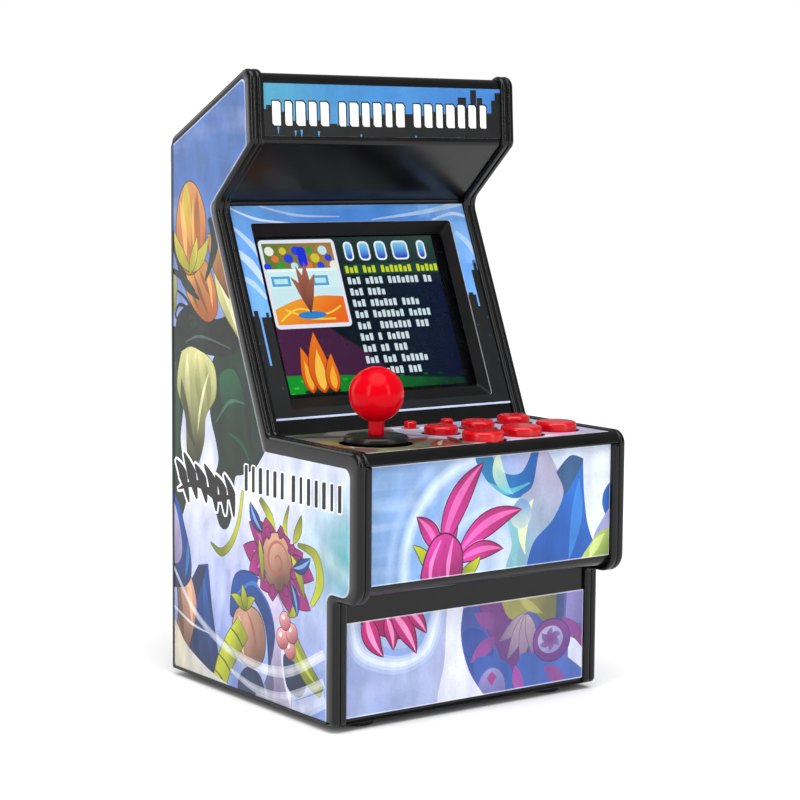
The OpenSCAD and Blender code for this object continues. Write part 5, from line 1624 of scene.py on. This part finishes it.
def finish_cad_node(obj, material, width):
    """Gives a CAD node its material and soft edges."""
    for slot in obj.material_slots:
        slot.link = "OBJECT"
        slot.material = material
    weld = obj.modifiers.new("weld", "WELD")
    weld.merge_threshold = 0.005 * MM
    if width:
        bevel = obj.modifiers.new("soft_edge", "BEVEL")
        bevel.width = width * MM
        bevel.segments = 3
        bevel.limit_method = "ANGLE"
        bevel.angle_limit = math.radians(40)
        bevel.use_clamp_overlap = True
    normals = obj.modifiers.new("even_normals", "WEIGHTED_NORMAL")
    normals.keep_sharp = True


# ================================================================ stage, lights and camera

def build_stage():
    """A wide pale floor."""
    size = 30.0
    mesh = bpy.data.meshes.new("floor")
    mesh.from_pydata([(p[0], p[1], 0) for p in rect(-size, -size, size, size)], [], [(0, 1, 2, 3)])
    g = Graph("floor_paper")
    g.set(base_color=g.mix(g.noise(0.02, 3), rgb("f2f2f2"), rgb("f6f6f6")), roughness=0.9)
    g.set(specular_ior_level=0.0)
    mesh.materials.append(g.material)
    link(bpy.data.objects.new("floor", mesh))


def add_light(name, kind, direction, power):
    """A lamp that shines against a direction, towards the origin."""
    data = bpy.data.lights.new(name, kind)
    data.energy = power
    light = link(bpy.data.objects.new(name, data))
    light.rotation_euler = (-Vector(direction)).to_track_quat("-Z", "Y").to_euler()
    return light


def build_lights():
    """A wide soft wash from above and three tall softboxes."""
    target = Vector((0, 0, 0.08))
    sun = add_light("overhead_wash", "SUN", (-0.15, -0.3, 1.0), 3.1)
    sun.data.angle = math.radians(60)
    for name, place, size, power in (
            ("left_softbox", (-0.9, -0.35, 0.45), (0.16, 0.8), 3.6),
            ("front_softbox", (0.35, -1.1, 0.5), (0.2, 0.9), 3.7),
            ("rear_softbox", (-0.5, 1.1, 0.5), (0.5, 0.9), 3.0)):
        light = add_light(name, "AREA", Vector(place) - target, power)
        light.location = place
        light.data.shape = "RECTANGLE"
        light.data.size, light.data.size_y = size


def build_world():
    """A white backdrop for the camera that lights the object only a little."""
    world = bpy.data.worlds.new("studio")
    world.use_nodes = True
    bpy.context.scene.world = world
    nodes, links = world.node_tree.nodes, world.node_tree.links
    nodes.clear()
    path = nodes.new("ShaderNodeLightPath")
    amount = nodes.new("ShaderNodeMapRange")
    amount.inputs["To Min"].default_value = 0.3
    amount.inputs["To Max"].default_value = 1.02
    background = nodes.new("ShaderNodeBackground")
    background.inputs["Color"].default_value = (1, 1, 1, 1)
    out = nodes.new("ShaderNodeOutputWorld")
    links.new(path.outputs["Is Camera Ray"], amount.inputs["Value"])
    links.new(amount.outputs[0], background.inputs["Strength"])
    links.new(background.outputs[0], out.inputs["Surface"])


def build_camera():
    """The camera at the photograph's viewing angle."""
    yaw, pitch, roll = math.radians(36.241), math.radians(6.506), math.radians(0.454)
    data = bpy.data.cameras.new("camera")
    data.sensor_width = 36
    data.lens = 99.2
    data.clip_start, data.clip_end = 0.01, 20
    camera = link(bpy.data.objects.new("camera", data))
    forward = Vector((math.sin(yaw) * math.cos(pitch), math.cos(yaw) * math.cos(pitch), -math.sin(pitch)))
    right = Vector((math.cos(yaw), -math.sin(yaw), 0))
    up = right.cross(forward)
    tilted_right = right * math.cos(roll) + up * math.sin(roll)
    tilted_up = up * math.cos(roll) - right * math.sin(roll)
    turn = Matrix((tilted_right, tilted_up, -forward)).transposed()
    camera.matrix_world = Matrix.Translation((-0.33384, -0.4575, 0.13986)) @ turn.to_4x4()
    bpy.context.scene.camera = camera


build_shell()
side_panel("left_side_shell", -1, "left_side_panel")
side_panel("right_side_shell", 1, "right_side_panel")
build_deck()
build_bezel()
build_labels()
build_buttons()
build_joystick()
build_button_works()
for look, edge_width, names in CAD_LOOKS:
    for cad_node in names.split():
        finish_cad_node(frame["nodes"][cad_node], look, edge_width)
build_stage()
build_lights()
build_world()
build_camera()
bpy.context.scene.view_settings.view_transform = "Standard"
